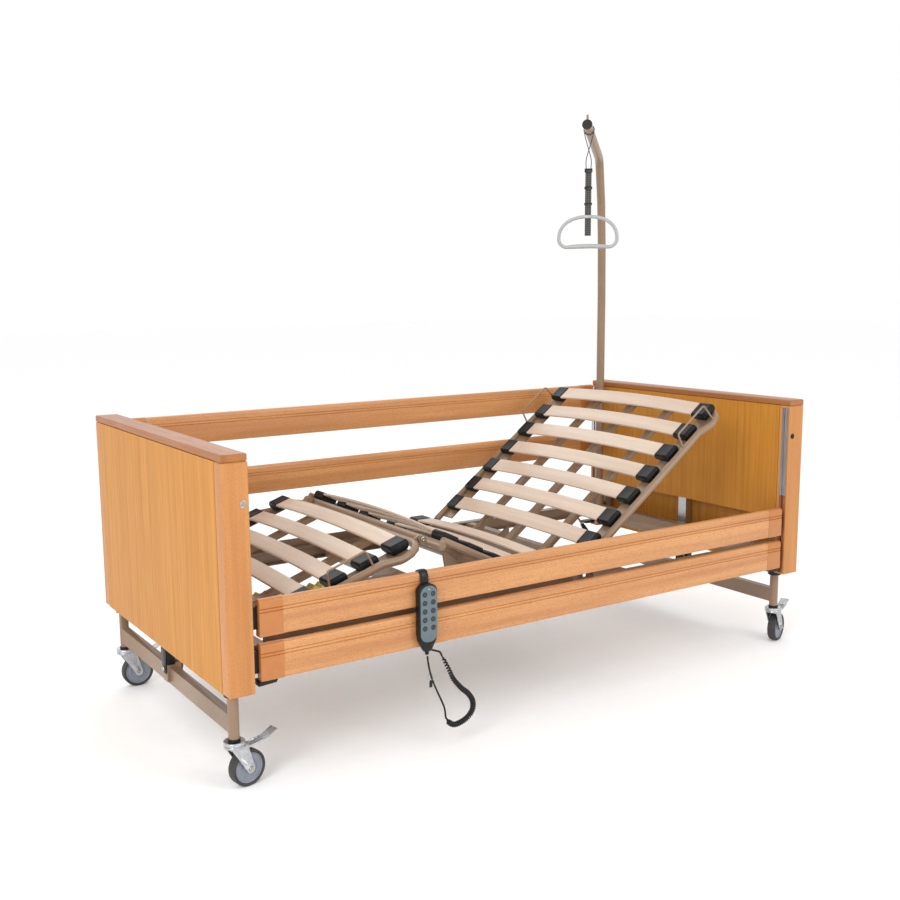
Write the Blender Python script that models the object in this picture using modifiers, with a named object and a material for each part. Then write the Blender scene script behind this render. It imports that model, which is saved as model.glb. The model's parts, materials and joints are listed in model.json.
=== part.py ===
"""Adjustable care bed: end boards on telescoping legs, a four-section slatted platform, lowering side rails,
four braked castors, a lifting pole with its trapeze grip, and a wired handset.

Units are metres. +X points to the head end, +Y to the bed's right side and +Z up, with the floor at z = 0.
The parts are laid out from the middle of the bed, and BED_ORIGIN then moves them all, so that the
origin is the middle of the whole assembly's footprint.
"""

import math

import bmesh
import bpy
from mathutils import Matrix, Vector

# ---- driving dimensions ----
BED_ORIGIN = (-0.0455, 0.0140, 0.0)
BED_LENGTH = 2.180
BED_WIDTH = 1.042
BOARD_TOP = 0.900
BOARD_BOTTOM = 0.274
CAP_THICK = 0.0205
POST_DEPTH = 0.072
POST_WIDTH = 0.046
PANEL_THICK = 0.0155
INNER_PANEL_BOTTOM = 0.477
GAP = 0.0003  # between solids that touch

LEG_X = 1.054
LEG_Y = 0.452
LEG_RADIUS = 0.015
LEG_BOTTOM = 0.134
LEG_TOP = 0.840
CROSSBAR_LOW = 0.155
CROSSBAR_HIGH = 0.205
GUIDE_OUTER = 0.020
GUIDE_INNER = 0.0165
GUIDE_BOTTOM = 0.262
GUIDE_TOP = 0.855
LIFT_ROD_RADIUS = 0.010
LIFT_ROD_TOP = 0.800
MOTOR_BOTTOM = 0.369
MOTOR_TOP = 0.845
MOTOR_WIDTH = 0.040
MOTOR_DEPTH = 0.030

CASTOR_HEADING = {"foot_left": 10.0, "foot_right": 0.0, "head_left": 20.0, "head_right": 12.0}
WHEEL_RADIUS = 0.050
WHEEL_WIDTH = 0.030
WHEEL_TRAIL = 0.036
AXLE_RADIUS = 0.006
FORK_HALF_GAP = 0.0172
CHEEK_THICK = 0.003
SWIVEL_RADIUS = 0.028
PEDAL_PIVOT = (0.012, 0.1085)
PEDAL_REACH = 0.127

RAIL_HALF_LENGTH = 1.000
RAIL_HEIGHT = 0.098
RAIL_THICK = 0.024
RAIL_Y = 0.506
SLOT_Y = 0.501
RAIL_LOW = {"left": {"upper": 0.420, "lower": 0.302}, "right": {"upper": 0.785, "lower": 0.588}}
TRACK_WIDTH = 0.026
TRACK_DEPTH = 0.0115
TRACK_BOTTOM = 0.280
TRACK_TOP = 0.872

SIDE_Y = 0.455  # middle of the base frame's side members
SIDE_WIDTH = 0.030
BASE_LOW = 0.335
BASE_HIGH = 0.385
HINGE_Z = 0.405
BACK_HINGE_X = 0.1665
THIGH_HINGE_X = -0.079
SEAT_BAR_X = (-0.0425, 0.1300)
SEAT_BAR_LOW = 0.3795
BACK_LENGTH = 0.760
THIGH_LENGTH = 0.373
CALF_LENGTH = 0.5163
BACK_ANGLE = math.radians(37.0)
THIGH_ANGLE = math.radians(26.5)
CALF_ANGLE = math.asin(THIGH_LENGTH * math.sin(THIGH_ANGLE) / CALF_LENGTH)
SECTION_Y = 0.426  # middle of a section's outer tube
TUBE_LIFT = 0.016  # the outer tube's axis above the hinge plane
TUBE_RADIUS = 0.0125
HINGE_TUBE_RADIUS = 0.0113
STRIP_TOP = 0.0116  # the flange that carries the slat caps, above the hinge plane
PIN_RADIUS = 0.005
SHEET_WALL = 0.003

SLAT_LIFT = 0.033  # slat plane above the hinge plane
SLAT_WIDTH = 0.058
SLAT_THICK = 0.008
SLAT_RISE = 0.016  # how much a slat bows up in the middle
SLAT_HALF = 0.400
SLAT_CAP_Y = (0.350, 0.412)
BACK_SLATS = [0.0922 + 0.1066 * i for i in range(7)]
SEAT_SLATS = [-0.045, 0.0546]
THIGH_SLATS = [0.306, 0.2065, 0.107]
CALF_SLATS = [0.0969 + 0.106 * i for i in range(4)]

POLE_RADIUS = 0.0165
POLE_FOOT = (0.975, 0.420, 0.347)
POLE_BEND = (0.885, 0.344, 1.793)
ARM_TIP = (0.565, 0.050, 1.868)
HANG_SHARE = 0.15  # where the strap hangs, from the arm's tip towards its bend
GRIP_WIDTH = 0.226
GRIP_HEIGHT = 0.122
GRIP_BOTTOM = 1.434
GRIP_BAR = 0.0065

HANDSET_X = -0.504
HANDSET_SIZE = (0.062, 0.026, 0.196)
HANDSET_LOW = 0.291

LEAD_RADIUS = 0.0028
CURL_RADIUS = 0.00875
GLAND = (-0.478, -0.455, 0.322)
LEAD_IN_ROUTE = [(-0.478, -0.455, 0.3213), (-0.478, -0.4565, 0.306), (-0.474, -0.474, 0.285),
                 (-0.467, -0.500, 0.2795), (-0.459, -0.5275, 0.2795), (-0.4548, -0.5347, 0.2677)]
CURL_ROUTE = [(-0.4540, -0.5350, 0.2660), (-0.437, -0.540, 0.229), (-0.421, -0.540, 0.196),
              (-0.395, -0.540, 0.164), (-0.370, -0.540, 0.141), (-0.354, -0.540, 0.116),
              (-0.354, -0.540, 0.090), (-0.369, -0.540, 0.071), (-0.393, -0.540, 0.060),
              (-0.417, -0.540, 0.057), (-0.434, -0.540, 0.066), (-0.4430, -0.5400, 0.0790)]
HANDSET_LEAD_ROUTE = [(-0.4436, -0.5400, 0.0800), (-0.4474, -0.5400, 0.0862), (-0.452, -0.540, 0.116),
                      (-0.469, -0.539, 0.156), (-0.484, -0.538, 0.190), (-0.495, -0.537, 0.222),
                      (-0.502, -0.536, 0.255), (-0.504, -0.5345, 0.2778)]

COLOURS = {
    "beech": (0.72, 0.38, 0.17, 0.45, 0.0),
    "panel": (0.62, 0.30, 0.08, 0.45, 0.0),
    "steel_beige": (0.36, 0.24, 0.14, 0.40, 0.3),
    "slat": (0.80, 0.63, 0.46, 0.55, 0.0),
    "zinc": (0.70, 0.71, 0.73, 0.30, 1.0),
    "wheel": (0.10, 0.11, 0.12, 0.60, 0.0),
    "aluminium": (0.75, 0.76, 0.78, 0.30, 1.0),
    "grip": (0.68, 0.68, 0.66, 0.40, 0.0),
    "webbing": (0.08, 0.07, 0.07, 0.90, 0.0),
    "black": (0.02, 0.02, 0.02, 0.45, 0.0),
    "motor": (0.20, 0.20, 0.21, 0.50, 0.0),
}

HALF_LENGTH = BED_LENGTH / 2
HALF_WIDTH = BED_WIDTH / 2
CAP_BOTTOM = BOARD_TOP - CAP_THICK
SIDES = {"left": -1, "right": 1}
ENDS = {"foot": -1, "head": 1}
# An outline drawn in (u, v) stands square to one axis: (u, v) is (Y, Z), (X, Z) or (X, Y).
FACING = {
    "X": Matrix(((0, 0, 1), (1, 0, 0), (0, 1, 0))).to_4x4(),
    "Y": Matrix(((1, 0, 0), (0, 0, -1), (0, 1, 0))).to_4x4(),
    "Z": Matrix.Identity(4),
}


# ---- tools ----
def clear_scene():
    for obj in list(bpy.data.objects):
        bpy.data.objects.remove(obj, do_unlink=True)


def collection(name):
    made = bpy.data.collections.new(name)
    bpy.context.scene.collection.children.link(made)
    return made


def material(name):
    red, green, blue, roughness, metallic = COLOURS[name]
    made = bpy.data.materials.get(name)
    if made is None:
        made = bpy.data.materials.new(name)
        made.use_nodes = True
        shader = made.node_tree.nodes["Principled BSDF"]
        shader.inputs["Base Color"].default_value = (red, green, blue, 1.0)
        shader.inputs["Roughness"].default_value = roughness
        shader.inputs["Metallic"].default_value = metallic
    return made


def place(name, mesh, colour, location=(0, 0, 0), rotation=(0, 0, 0)):
    """One named part, in the bed's own layout."""
    mesh.name = name
    obj = bpy.data.objects.new(name, mesh)
    obj.location = location
    obj.rotation_euler = rotation
    obj.parent = origin_empty
    if not mesh.materials:
        mesh.materials.append(material(colour))
    parts.objects.link(obj)
    return obj


def cut_or_join(target, mesh, operation, title):
    """A solid helper that is added to the target or taken from it, in the target's own space."""
    tool = bpy.data.objects.new(f"{target.name}_{title}", mesh)
    tool.parent = target
    tool.hide_render = True
    tool.display_type = "WIRE"
    cutters.objects.link(tool)
    boolean = target.modifiers.new(title, "BOOLEAN")
    boolean.operation = operation
    boolean.solver = "EXACT"
    boolean.object = tool


def add(target, mesh, title):
    cut_or_join(target, mesh, "UNION", title)


def cut(target, mesh, title):
    cut_or_join(target, mesh, "DIFFERENCE", title)


def bevel(obj, width, segments=1, angle=40.0):
    made = obj.modifiers.new("soft edges", "BEVEL")
    made.width = width
    made.segments = segments
    made.limit_method = "ANGLE"
    made.angle_limit = math.radians(angle)
    made.harden_normals = False


def box(low, high):
    mesh = bpy.data.meshes.new("box")
    shape = bmesh.new()
    bmesh.ops.create_cube(shape, size=1.0)
    size = [b - a for a, b in zip(low, high)]
    middle = [(a + b) / 2 for a, b in zip(low, high)]
    shape.transform(Matrix.Translation(middle) @ Matrix.Diagonal((*size, 1.0)))
    shape.to_mesh(mesh)
    shape.free()
    return mesh


def rod(start, end, radius, sides=16):
    """A round bar from start to end."""
    start, end = Vector(start), Vector(end)
    along = end - start
    mesh = bpy.data.meshes.new("rod")
    shape = bmesh.new()
    bmesh.ops.create_cone(shape, cap_ends=True, segments=sides, radius1=radius,
                          radius2=radius, depth=along.length)
    turn = along.to_track_quat("Z", "Y").to_matrix().to_4x4()
    shape.transform(Matrix.Translation((start + end) / 2) @ turn)
    shape.to_mesh(mesh)
    shape.free()
    for face in mesh.polygons:
        face.use_smooth = len(face.vertices) == 4
    return mesh


def curve_mesh(curve):
    """The closed mesh of a curve with its caps welded."""
    carrier = bpy.data.objects.new("curve", curve)
    cutters.objects.link(carrier)
    bpy.context.view_layer.update()
    evaluated = carrier.evaluated_get(bpy.context.evaluated_depsgraph_get())
    mesh = bpy.data.meshes.new_from_object(evaluated)
    bpy.data.objects.remove(carrier, do_unlink=True)
    bpy.data.curves.remove(curve)
    shape = bmesh.new()
    shape.from_mesh(mesh)
    bmesh.ops.remove_doubles(shape, verts=shape.verts, dist=0.00001)
    bmesh.ops.recalc_face_normals(shape, faces=shape.faces)
    shape.to_mesh(mesh)
    shape.free()
    mesh.materials.clear()
    return mesh


def tube(points, radius, resolution=3, closed=False):
    """A round bar that follows the points."""
    curve = bpy.data.curves.new("tube", "CURVE")
    curve.dimensions = "3D"
    curve.bevel_depth = radius
    curve.bevel_resolution = resolution
    curve.use_fill_caps = not closed
    spline = curve.splines.new("POLY")
    spline.points.add(len(points) - 1)
    for knot, point in zip(spline.points, points):
        knot.co = (*point, 1.0)
    spline.use_cyclic_u = closed
    return curve_mesh(curve)


def plate(outline, low, high, facing):
    """A flat outline made solid between two heights along the axis it faces."""
    curve = bpy.data.curves.new("plate", "CURVE")
    curve.dimensions = "2D"
    curve.fill_mode = "BOTH"
    curve.extrude = (high - low) / 2
    spline = curve.splines.new("POLY")
    spline.points.add(len(outline) - 1)
    for knot, (u, v) in zip(spline.points, outline):
        knot.co = (u, v, 0.0, 1.0)
    spline.use_cyclic_u = True
    mesh = curve_mesh(curve)
    middle = (low + high) / 2
    lift = Vector((middle, 0, 0)) if facing == "X" else Vector((0, middle, 0))
    lift = Vector((0, 0, middle)) if facing == "Z" else lift
    mesh.transform(Matrix.Translation(lift) @ FACING[facing])
    return mesh


def arc(centre, radius, start, end, steps):
    """Points of a circular arc in the plane, from one angle to another in degrees."""
    turns = [math.radians(start + (end - start) * i / steps) for i in range(steps + 1)]
    return [(centre[0] + radius * math.cos(t), centre[1] + radius * math.sin(t)) for t in turns]


def rounded(corners, radius, steps=4):
    """An open path through the corners, with each inner corner turned on an arc."""
    corners = [Vector(c) for c in corners]
    path = [corners[0]]
    for before, corner, after in zip(corners, corners[1:], corners[2:]):
        into = (before - corner).normalized()
        out = (after - corner).normalized()
        half = into.angle(out) / 2
        reach = radius / math.tan(half)
        centre = corner + (into + out).normalized() * (radius / math.sin(half))
        first = corner + into * reach - centre
        last = corner + out * reach - centre
        for i in range(steps + 1):
            path.append(centre + first.normalized().slerp(last.normalized(), i / steps) * radius)
    path.append(corners[-1])
    return path


def smooth(route, per_step=6):
    """A Catmull-Rom curve through the route's points."""
    knots = [Vector(p) for p in route]
    knots = [2 * knots[0] - knots[1], *knots, 2 * knots[-1] - knots[-2]]
    line = []
    for a, b, c, d in zip(knots, knots[1:], knots[2:], knots[3:]):
        for i in range(per_step):
            t = i / per_step
            line.append(0.5 * (2 * b + (c - a) * t + (2 * a - 5 * b + 4 * c - d) * t ** 2
                               + (3 * b - a - 3 * c + d) * t ** 3))
    line.append(knots[-2])
    return line


def turned(name, profile, colour, steps, location, rotation):
    """A solid of revolution round its own Z, from a closed profile of (radius, height) points."""
    mesh = bpy.data.meshes.new(name)
    count = len(profile)
    mesh.from_pydata([(r, 0.0, z) for r, z in profile], [(i, (i + 1) % count) for i in range(count)], [])
    obj = place(name, mesh, colour, location, rotation)
    screw = obj.modifiers.new("turn", "SCREW")
    screw.axis = "Z"
    screw.steps = steps
    screw.render_steps = steps
    screw.use_merge_vertices = True
    screw.merge_threshold = 0.00005
    screw.use_smooth_shade = True
    return obj


# ---- end boards ----
def make_post(end, side):
    x0, x1 = HALF_LENGTH - POST_DEPTH, HALF_LENGTH
    y0, y1 = HALF_WIDTH - POST_WIDTH, HALF_WIDTH
    obj = place(f"{end}_{side}_post", box((0, 0, 0), (POST_DEPTH, POST_WIDTH, CAP_BOTTOM - BOARD_BOTTOM - GAP)),
                "beech", (x0 if end == "head" else -x1, y0 if side == "right" else -y1, BOARD_BOTTOM))
    bevel(obj, 0.0025)
    near_x, far_x = (-0.002, TRACK_DEPTH + GAP) if end == "head" else (
        POST_DEPTH - TRACK_DEPTH - GAP, POST_DEPTH + 0.002)
    middle = POST_WIDTH / 2 + SIDES[side] * (SLOT_Y - HALF_WIDTH + POST_WIDTH / 2)
    half = TRACK_WIDTH / 2 + GAP
    cut(obj, box((near_x, middle - half, TRACK_BOTTOM - GAP - BOARD_BOTTOM),
                 (far_x, middle + half, TRACK_TOP + GAP - BOARD_BOTTOM)), "track recess")


def make_cap_board(end):
    depth = POST_DEPTH - 0.0015
    obj = place(f"{end}_cap_board", box((-depth, -HALF_WIDTH, 0), (0, HALF_WIDTH, CAP_THICK)), "beech",
                (HALF_LENGTH if end == "head" else -HALF_LENGTH + depth, 0, CAP_BOTTOM))
    bevel(obj, 0.003)


def make_panel(end):
    """An outer board, and an inner board behind the upper part, joined under the cap board."""
    half = HALF_WIDTH - POST_WIDTH - GAP
    top = CAP_BOTTOM - BOARD_BOTTOM - GAP
    depth = POST_DEPTH
    obj = place(f"{end}_panel", box((-PANEL_THICK, -half, 0), (0, half, top)), "panel",
                (HALF_LENGTH if end == "head" else -HALF_LENGTH, 0, BOARD_BOTTOM),
                (0, 0, 0 if end == "head" else math.pi))
    inner_low = INNER_PANEL_BOTTOM - BOARD_BOTTOM
    outline = [(-depth, inner_low), (-depth, top), (-0.005, top), (-0.005, top - 0.019),
               (-depth + PANEL_THICK, top - 0.019), (-depth + PANEL_THICK, inner_low)]
    add(obj, plate(outline, -half, half, "Y"), "inner board")


def make_rail_track(end, side):
    """A slotted profile sunk in the post's inner face, in which the rails' gliders run."""
    width, depth, slot = TRACK_WIDTH, TRACK_DEPTH, 0.008
    outline = [(-width / 2, 0), (-slot / 2, 0), (-slot / 2, 0.0085), (slot / 2, 0.0085), (slot / 2, 0),
               (width / 2, 0), (width / 2, depth), (-width / 2, depth)]
    mesh = plate([(v, u) for u, v in reversed(outline)], TRACK_BOTTOM, TRACK_TOP, "Z")
    if end == "foot":
        mesh.transform(Matrix.Rotation(math.pi, 4, "Z"))
    x = HALF_LENGTH - POST_DEPTH
    place(f"{end}_{side}_rail_track", mesh, "aluminium", (ENDS[end] * x, SIDES[side] * SLOT_Y, 0))


def make_lift_motor(end):
    """A square profile that hides the spindle drive, hollow from below for the lift rod."""
    bottom, top = MOTOR_BOTTOM, MOTOR_TOP
    obj = place(f"{end}_lift_motor", box((-MOTOR_DEPTH / 2, -MOTOR_WIDTH / 2, bottom),
                                         (MOTOR_DEPTH / 2, MOTOR_WIDTH / 2, top)), "aluminium",
                (ENDS[end] * LEG_X, 0, 0))
    cut(obj, rod((0, 0, bottom - 0.01), (0, 0, LIFT_ROD_TOP + 0.015), LIFT_ROD_RADIUS + 0.001), "bore")


# ---- chassis ----
def make_leg_frame(end):
    """Two leg tubes, their crossbar and the rod of the lift motor."""
    obj = place(f"{end}_leg_frame", rod((0, -LEG_Y, LEG_BOTTOM), (0, -LEG_Y, LEG_TOP), LEG_RADIUS, 16),
                "steel_beige", (ENDS[end] * LEG_X, 0, 0))
    add(obj, rod((0, LEG_Y, LEG_BOTTOM), (0, LEG_Y, LEG_TOP), LEG_RADIUS, 16), "right leg")
    add(obj, box((-0.0125, -LEG_Y, CROSSBAR_LOW), (0.0125, LEG_Y, CROSSBAR_HIGH)), "crossbar")
    add(obj, rod((0, 0, CROSSBAR_HIGH - 0.01), (0, 0, LIFT_ROD_TOP), LIFT_ROD_RADIUS, 12), "lift rod")
    add(obj, box((-0.022, -0.016, CROSSBAR_LOW + 0.008), (0.022, 0.016, CROSSBAR_HIGH + 0.014)), "rod bracket")


def make_castor(end, side):
    name = f"{end}_{side}_castor"
    heading = math.radians(CASTOR_HEADING[f"{end}_{side}"])
    stem = Vector((ENDS[end] * LEG_X, SIDES[side] * LEG_Y, 0))
    turn = (0, 0, heading)
    head_low, head_high = 0.1165, LEG_BOTTOM - GAP
    fork = place(f"{name}_fork", rod((0, 0, head_low), (0, 0, head_high), SWIVEL_RADIUS, 16), "zinc", stem, turn)
    outer = FORK_HALF_GAP + CHEEK_THICK
    add(fork, box((-0.020, -outer, 0.1145), (0.030, outer, 0.119)), "bridge")
    eye = arc((WHEEL_TRAIL, WHEEL_RADIUS), 0.0125, -170, 20, 8)
    cheek = [(-0.020, 0.117), *eye, (0.030, 0.117)]
    for sign in (-1, 1):
        low, high = sorted((sign * FORK_HALF_GAP, sign * outer))
        add(fork, plate(cheek, low, high, "Y"), f"cheek {sign}")
    axle_end = outer + 0.0035
    add(fork, rod((WHEEL_TRAIL, -axle_end, WHEEL_RADIUS), (WHEEL_TRAIL, axle_end, WHEEL_RADIUS), AXLE_RADIUS, 12),
        "axle")

    hub = stem + Matrix.Rotation(heading, 3, "Z") @ Vector((WHEEL_TRAIL, 0, WHEEL_RADIUS))
    half = WHEEL_WIDTH / 2
    profile = [(0.044, half), (0.048, half - 0.004), (WHEEL_RADIUS, half - 0.010), (WHEEL_RADIUS, 0.010 - half),
               (0.048, 0.004 - half), (0.044, -half), (0.034, -half + 0.006), (0.013, -half + 0.006),
               (0.013, -half), (AXLE_RADIUS + GAP, -half), (AXLE_RADIUS + GAP, half), (0.013, half),
               (0.013, half - 0.006), (0.034, half - 0.006)]
    turned(f"{name}_wheel", profile, "wheel", 20, hub, (math.pi / 2, 0, heading))

    pivot_x, pivot_z = PEDAL_PIVOT
    pivot = stem + Matrix.Rotation(heading, 3, "Z") @ Vector((pivot_x, 0, pivot_z))
    thick = 0.003
    upper = [(0.0, 0.0045), (0.050, 0.0045), (0.085, 0.0120), (PEDAL_REACH - pivot_x - 0.001, 0.0260)]
    lower = [(u + 0.0012, v - thick) for u, v in reversed(upper)]
    pedal = place(f"{name}_brake_pedal", plate([*upper, *lower], -0.0155, 0.0155, "Y"), "zinc", pivot, turn)
    barrel = FORK_HALF_GAP - 0.0005
    add(pedal, rod((0, -barrel, 0), (0, barrel, 0), 0.0045, 12), "barrel")


# ---- side rails ----
def make_side_rail(side, level):
    """A rail profile with a rounded top and a groove, and a glider tongue at each end."""
    face = RAIL_THICK / 2
    top = RAIL_HEIGHT / 2
    half_outline = [(face, -top), (face, 0.0165), (face - 0.003, 0.0185), (face - 0.003, 0.0205),
                    (face, 0.0225), (face, top - 0.012), *arc((face - 0.010, top - 0.010), 0.010, 20, 90, 3)]
    outline = half_outline + [(-u, v) for u, v in reversed(half_outline)]
    mesh = plate(outline, -RAIL_HALF_LENGTH, RAIL_HALF_LENGTH, "X")
    low = RAIL_LOW[side][level]
    obj = place(f"{side}_{level}_side_rail", mesh, "beech", (0, SIDES[side] * RAIL_Y, low + top))
    tongue_y = SIDES[side] * (SLOT_Y - RAIL_Y)
    for end, sign in ENDS.items():
        x0, x1 = sorted((sign * (RAIL_HALF_LENGTH - 0.010), sign * (RAIL_HALF_LENGTH + 0.0255)))
        add(obj, box((x0, tongue_y - 0.003, -0.030), (x1, tongue_y + 0.003, 0.030)), f"{end} glider")


# ---- platform ----
def channel(x0, x1, sign):
    """A side member: a steel channel that opens towards the middle of the bed."""
    outer, inner = SIDE_Y + SIDE_WIDTH / 2, SIDE_Y - SIDE_WIDTH / 2
    low, high, wall = BASE_LOW, BASE_HIGH, SHEET_WALL
    outline = [(inner, low), (outer, low), (outer, high), (inner, high), (inner, high - wall),
               (outer - wall, high - wall), (outer - wall, low + wall), (inner, low + wall)]
    return plate([(sign * y, z) for y, z in outline], x0, x1, "X")


def cross_member(x, width, reach, low, high):
    """A cross member: a steel channel that opens downwards."""
    x0, x1, wall = x - width / 2, x + width / 2, SHEET_WALL
    outline = [(x0, low), (x0 + wall, low), (x0 + wall, high - wall), (x1 - wall, high - wall),
               (x1 - wall, low), (x1, low), (x1, high), (x0, high)]
    return plate(outline, -reach, reach, "Y")


def make_base_frame():
    """Side members, cross members and the four guide tubes that slide on the legs."""
    obj = place("base_frame", channel(-LEG_X, LEG_X, -1), "steel_beige")
    add(obj, channel(-LEG_X, LEG_X, 1), "right side")
    for sign in (-1, 1):
        low, high = sorted((sign * 0.4665, sign * 0.4700))
        add(obj, box((-0.970, low, BASE_HIGH - 0.002), (0.080, high, 0.414)), f"upstand {sign}")
    inside = SIDE_Y - SIDE_WIDTH / 2 + 0.004
    for title, x in (("foot", -0.975), ("middle", -0.300), ("back", 0.320), ("head", 0.975)):
        add(obj, cross_member(x, 0.030, inside, BASE_LOW + 0.002, BASE_HIGH - 0.002), f"{title} member")
    seat_reach = SIDE_Y - 0.010
    for title, x in zip(("front", "rear"), SEAT_BAR_X):
        add(obj, cross_member(x, 0.025, seat_reach, SEAT_BAR_LOW, SEAT_BAR_LOW + 0.036), f"seat {title}")
    for sign in (-1, 1):
        y = sign * 0.395
        add(obj, rod((-0.045, y, HINGE_Z), (0.135, y, HINGE_Z), 0.0112, 12), f"seat side {sign}")
        for title, x in (("back", BACK_HINGE_X), ("thigh", THIGH_HINGE_X)):
            lug = [(x - 0.014, BASE_HIGH - 0.012), (x + 0.014, BASE_HIGH - 0.012),
                   *arc((x, HINGE_Z), 0.014, 0, 180, 6)]
            low, high = sorted((sign * 0.4475, sign * 0.4535))
            add(obj, plate(lug, low, high, "Y"), f"{title} lug {sign}")
            cut(obj, rod((x, sign * 0.440, HINGE_Z), (x, sign * 0.462, HINGE_Z), PIN_RADIUS + GAP, 16),
                f"{title} bore {sign}")
    for sign_x in (-1, 1):
        for sign_y in (-1, 1):
            x, y = sign_x * LEG_X, sign_y * LEG_Y
            add(obj, rod((x, y, GUIDE_BOTTOM), (x, y, GUIDE_TOP), GUIDE_OUTER, 16), f"guide {sign_x} {sign_y}")
            cut(obj, rod((x, y, GUIDE_BOTTOM - 0.02), (x, y, GUIDE_TOP + 0.02), GUIDE_INNER, 16),
                f"guide bore {sign_x} {sign_y}")
    x, y, z = POLE_FOOT
    add(obj, rod((x, y, BASE_LOW + 0.005), (x, y, 0.470), 0.0215, 20), "pole socket")
    cut(obj, rod((x, y, z - GAP), (x, y, 0.500), POLE_RADIUS + 0.0005, 20), "pole bore")
    x, y, z = GLAND
    add(obj, rod((x, y, z), (x, y, BASE_LOW + 0.004), 0.0075, 12), "cord gland")


def make_drive_unit():
    """The housing of the two drives that lift the back and the thigh sections."""
    obj = place("drive_unit", box((-0.150, -0.045, 0.245), (0.245, 0.045, 0.325)), "motor", (0, 0, 0))
    add(obj, box((0.000, -0.045, 0.200), (0.110, 0.045, 0.250)), "motor pod")
    for title, x in (("front hanger", SEAT_BAR_X[0]), ("rear hanger", SEAT_BAR_X[1])):
        add(obj, box((x - 0.0115, -0.030, 0.315), (x + 0.0115, 0.030, SEAT_BAR_LOW - GAP)), title)
    bevel(obj, 0.004)


def section_strip(x0, x1, sign):
    """The flange inside a section's outer tube, on which the slat caps sit."""
    low, high = sorted((sign * 0.362, sign * (SECTION_Y - 0.0013)))
    return box((x0, low, STRIP_TOP - 0.005), (x1, high, STRIP_TOP))


def make_back_frame():
    length, y = BACK_LENGTH, SECTION_Y
    near_side = [(0.0031, -y, TUBE_LIFT), (0.640, -y, TUBE_LIFT), (0.700, -y, 0), (length, -y, 0)]
    loop = rounded(near_side + [(x, -yy, z) for x, yy, z in reversed(near_side)], 0.050)
    obj = place("back_frame", tube(loop, TUBE_RADIUS), "steel_beige", (BACK_HINGE_X, 0, HINGE_Z), (0, -BACK_ANGLE, 0))
    add(obj, rod((0, -y - 0.0115, 0), (0, y + 0.0115, 0), HINGE_TUBE_RADIUS, 16), "hinge tube")
    for sign in (-1, 1):
        add(obj, rod((0, sign * (y - 0.01), 0), (0, sign * 0.4530, 0), PIN_RADIUS, 12), f"pin {sign}")
        add(obj, section_strip(0.030, length - 0.030, sign), f"strip {sign}")
        add(obj, box((0.005, sign * 0.195 - 0.014, -0.009), (length - 0.004, sign * 0.195 + 0.014, 0.009)),
            f"inner bar {sign}")
    add(obj, box((0.006, -0.015, -0.0085), (length - 0.005, 0.015, 0.0085)), "middle bar")
    lever = [(-0.012, 0.0), (0.080, 0.0), (0.0, -0.105), (-0.030, -0.110), (-0.034, -0.090)]
    add(obj, plate(lever, 0.060, 0.068, "Y"), "lever")


def make_thigh_frame():
    length, y = THIGH_LENGTH, SECTION_Y
    end = length - 0.030
    obj = place("thigh_frame", rod((0, -y - 0.0115, 0), (0, y + 0.0115, 0), HINGE_TUBE_RADIUS, 16), "steel_beige",
                (THIGH_HINGE_X, 0, HINGE_Z), (0, -THIGH_ANGLE, math.pi))
    add(obj, rod((end, -y - 0.0105, 0), (end, y + 0.0105, 0), TUBE_RADIUS + 0.0004, 16), "knee bar")
    for sign in (-1, 1):
        side = rod((0.0031, sign * y, TUBE_LIFT), (end, sign * y, TUBE_LIFT), TUBE_RADIUS - 0.0010, 12)
        add(obj, side, f"side {sign}")
        add(obj, rod((0, sign * (y - 0.01), 0), (0, sign * 0.4530, 0), PIN_RADIUS, 12), f"pin {sign}")
        add(obj, section_strip(0.030, end - 0.003, sign), f"strip {sign}")
        add(obj, box((0.005, sign * 0.195 - 0.014, -0.009), (end, sign * 0.195 + 0.014, 0.009)),
            f"inner bar {sign}")
        lug = [(end, -0.010), (length, -0.012), *arc((length, 0), 0.012, -60, 60, 4), (length, 0.012), (end, 0.010)]
        low, high = sorted((sign * 0.3660, sign * 0.3710))
        add(obj, plate(lug, low, high, "Y"), f"knee lug {sign}")
        add(obj, rod((length, sign * 0.3690, 0), (length, sign * 0.3560, 0), PIN_RADIUS, 12), f"knee pin {sign}")
    lever = [(-0.012, 0.0), (0.070, 0.0), (0.0, -0.095), (-0.028, -0.100), (-0.032, -0.080)]
    add(obj, plate(lever, 0.060, 0.068, "Y"), "lever")


def make_calf_frame():
    length, y = CALF_LENGTH, SECTION_Y
    start, end = 0.030, length - TUBE_RADIUS
    knee_x = -THIGH_LENGTH * math.cos(THIGH_ANGLE) + THIGH_HINGE_X
    knee_z = THIGH_LENGTH * math.sin(THIGH_ANGLE) + HINGE_Z
    near_side = [(end, -y, TUBE_LIFT), (0.174, -y, TUBE_LIFT), (0.114, -y, 0), (start, -y, 0)]
    loop = rounded(near_side + [(x, -yy, z) for x, yy, z in reversed(near_side)], 0.070)
    obj = place("calf_frame", tube(loop, TUBE_RADIUS), "steel_beige", (knee_x, 0, knee_z), (0, CALF_ANGLE, math.pi))
    add(obj, rod((end, -y - 0.0105, 0), (end, y + 0.0105, 0), TUBE_RADIUS - 0.0006, 12), "foot bar")
    for sign in (-1, 1):
        add(obj, section_strip(start + 0.045, end - 0.003, sign), f"strip {sign}")
        add(obj, box((start + 0.002, sign * 0.195 - 0.014, -0.009), (end, sign * 0.195 + 0.014, 0.009)),
            f"inner bar {sign}")
        lug = [(start, 0.010), *arc((0, 0), 0.0125, 90, 270, 6), (start, -0.010)]
        low, high = sorted((sign * 0.3592, sign * 0.3642))
        add(obj, plate(lug, low, high, "Y"), f"knee lug {sign}")
        cut(obj, rod((0, sign * 0.350, 0), (0, sign * 0.368, 0), PIN_RADIUS + GAP, 16), f"knee bore {sign}")


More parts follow.
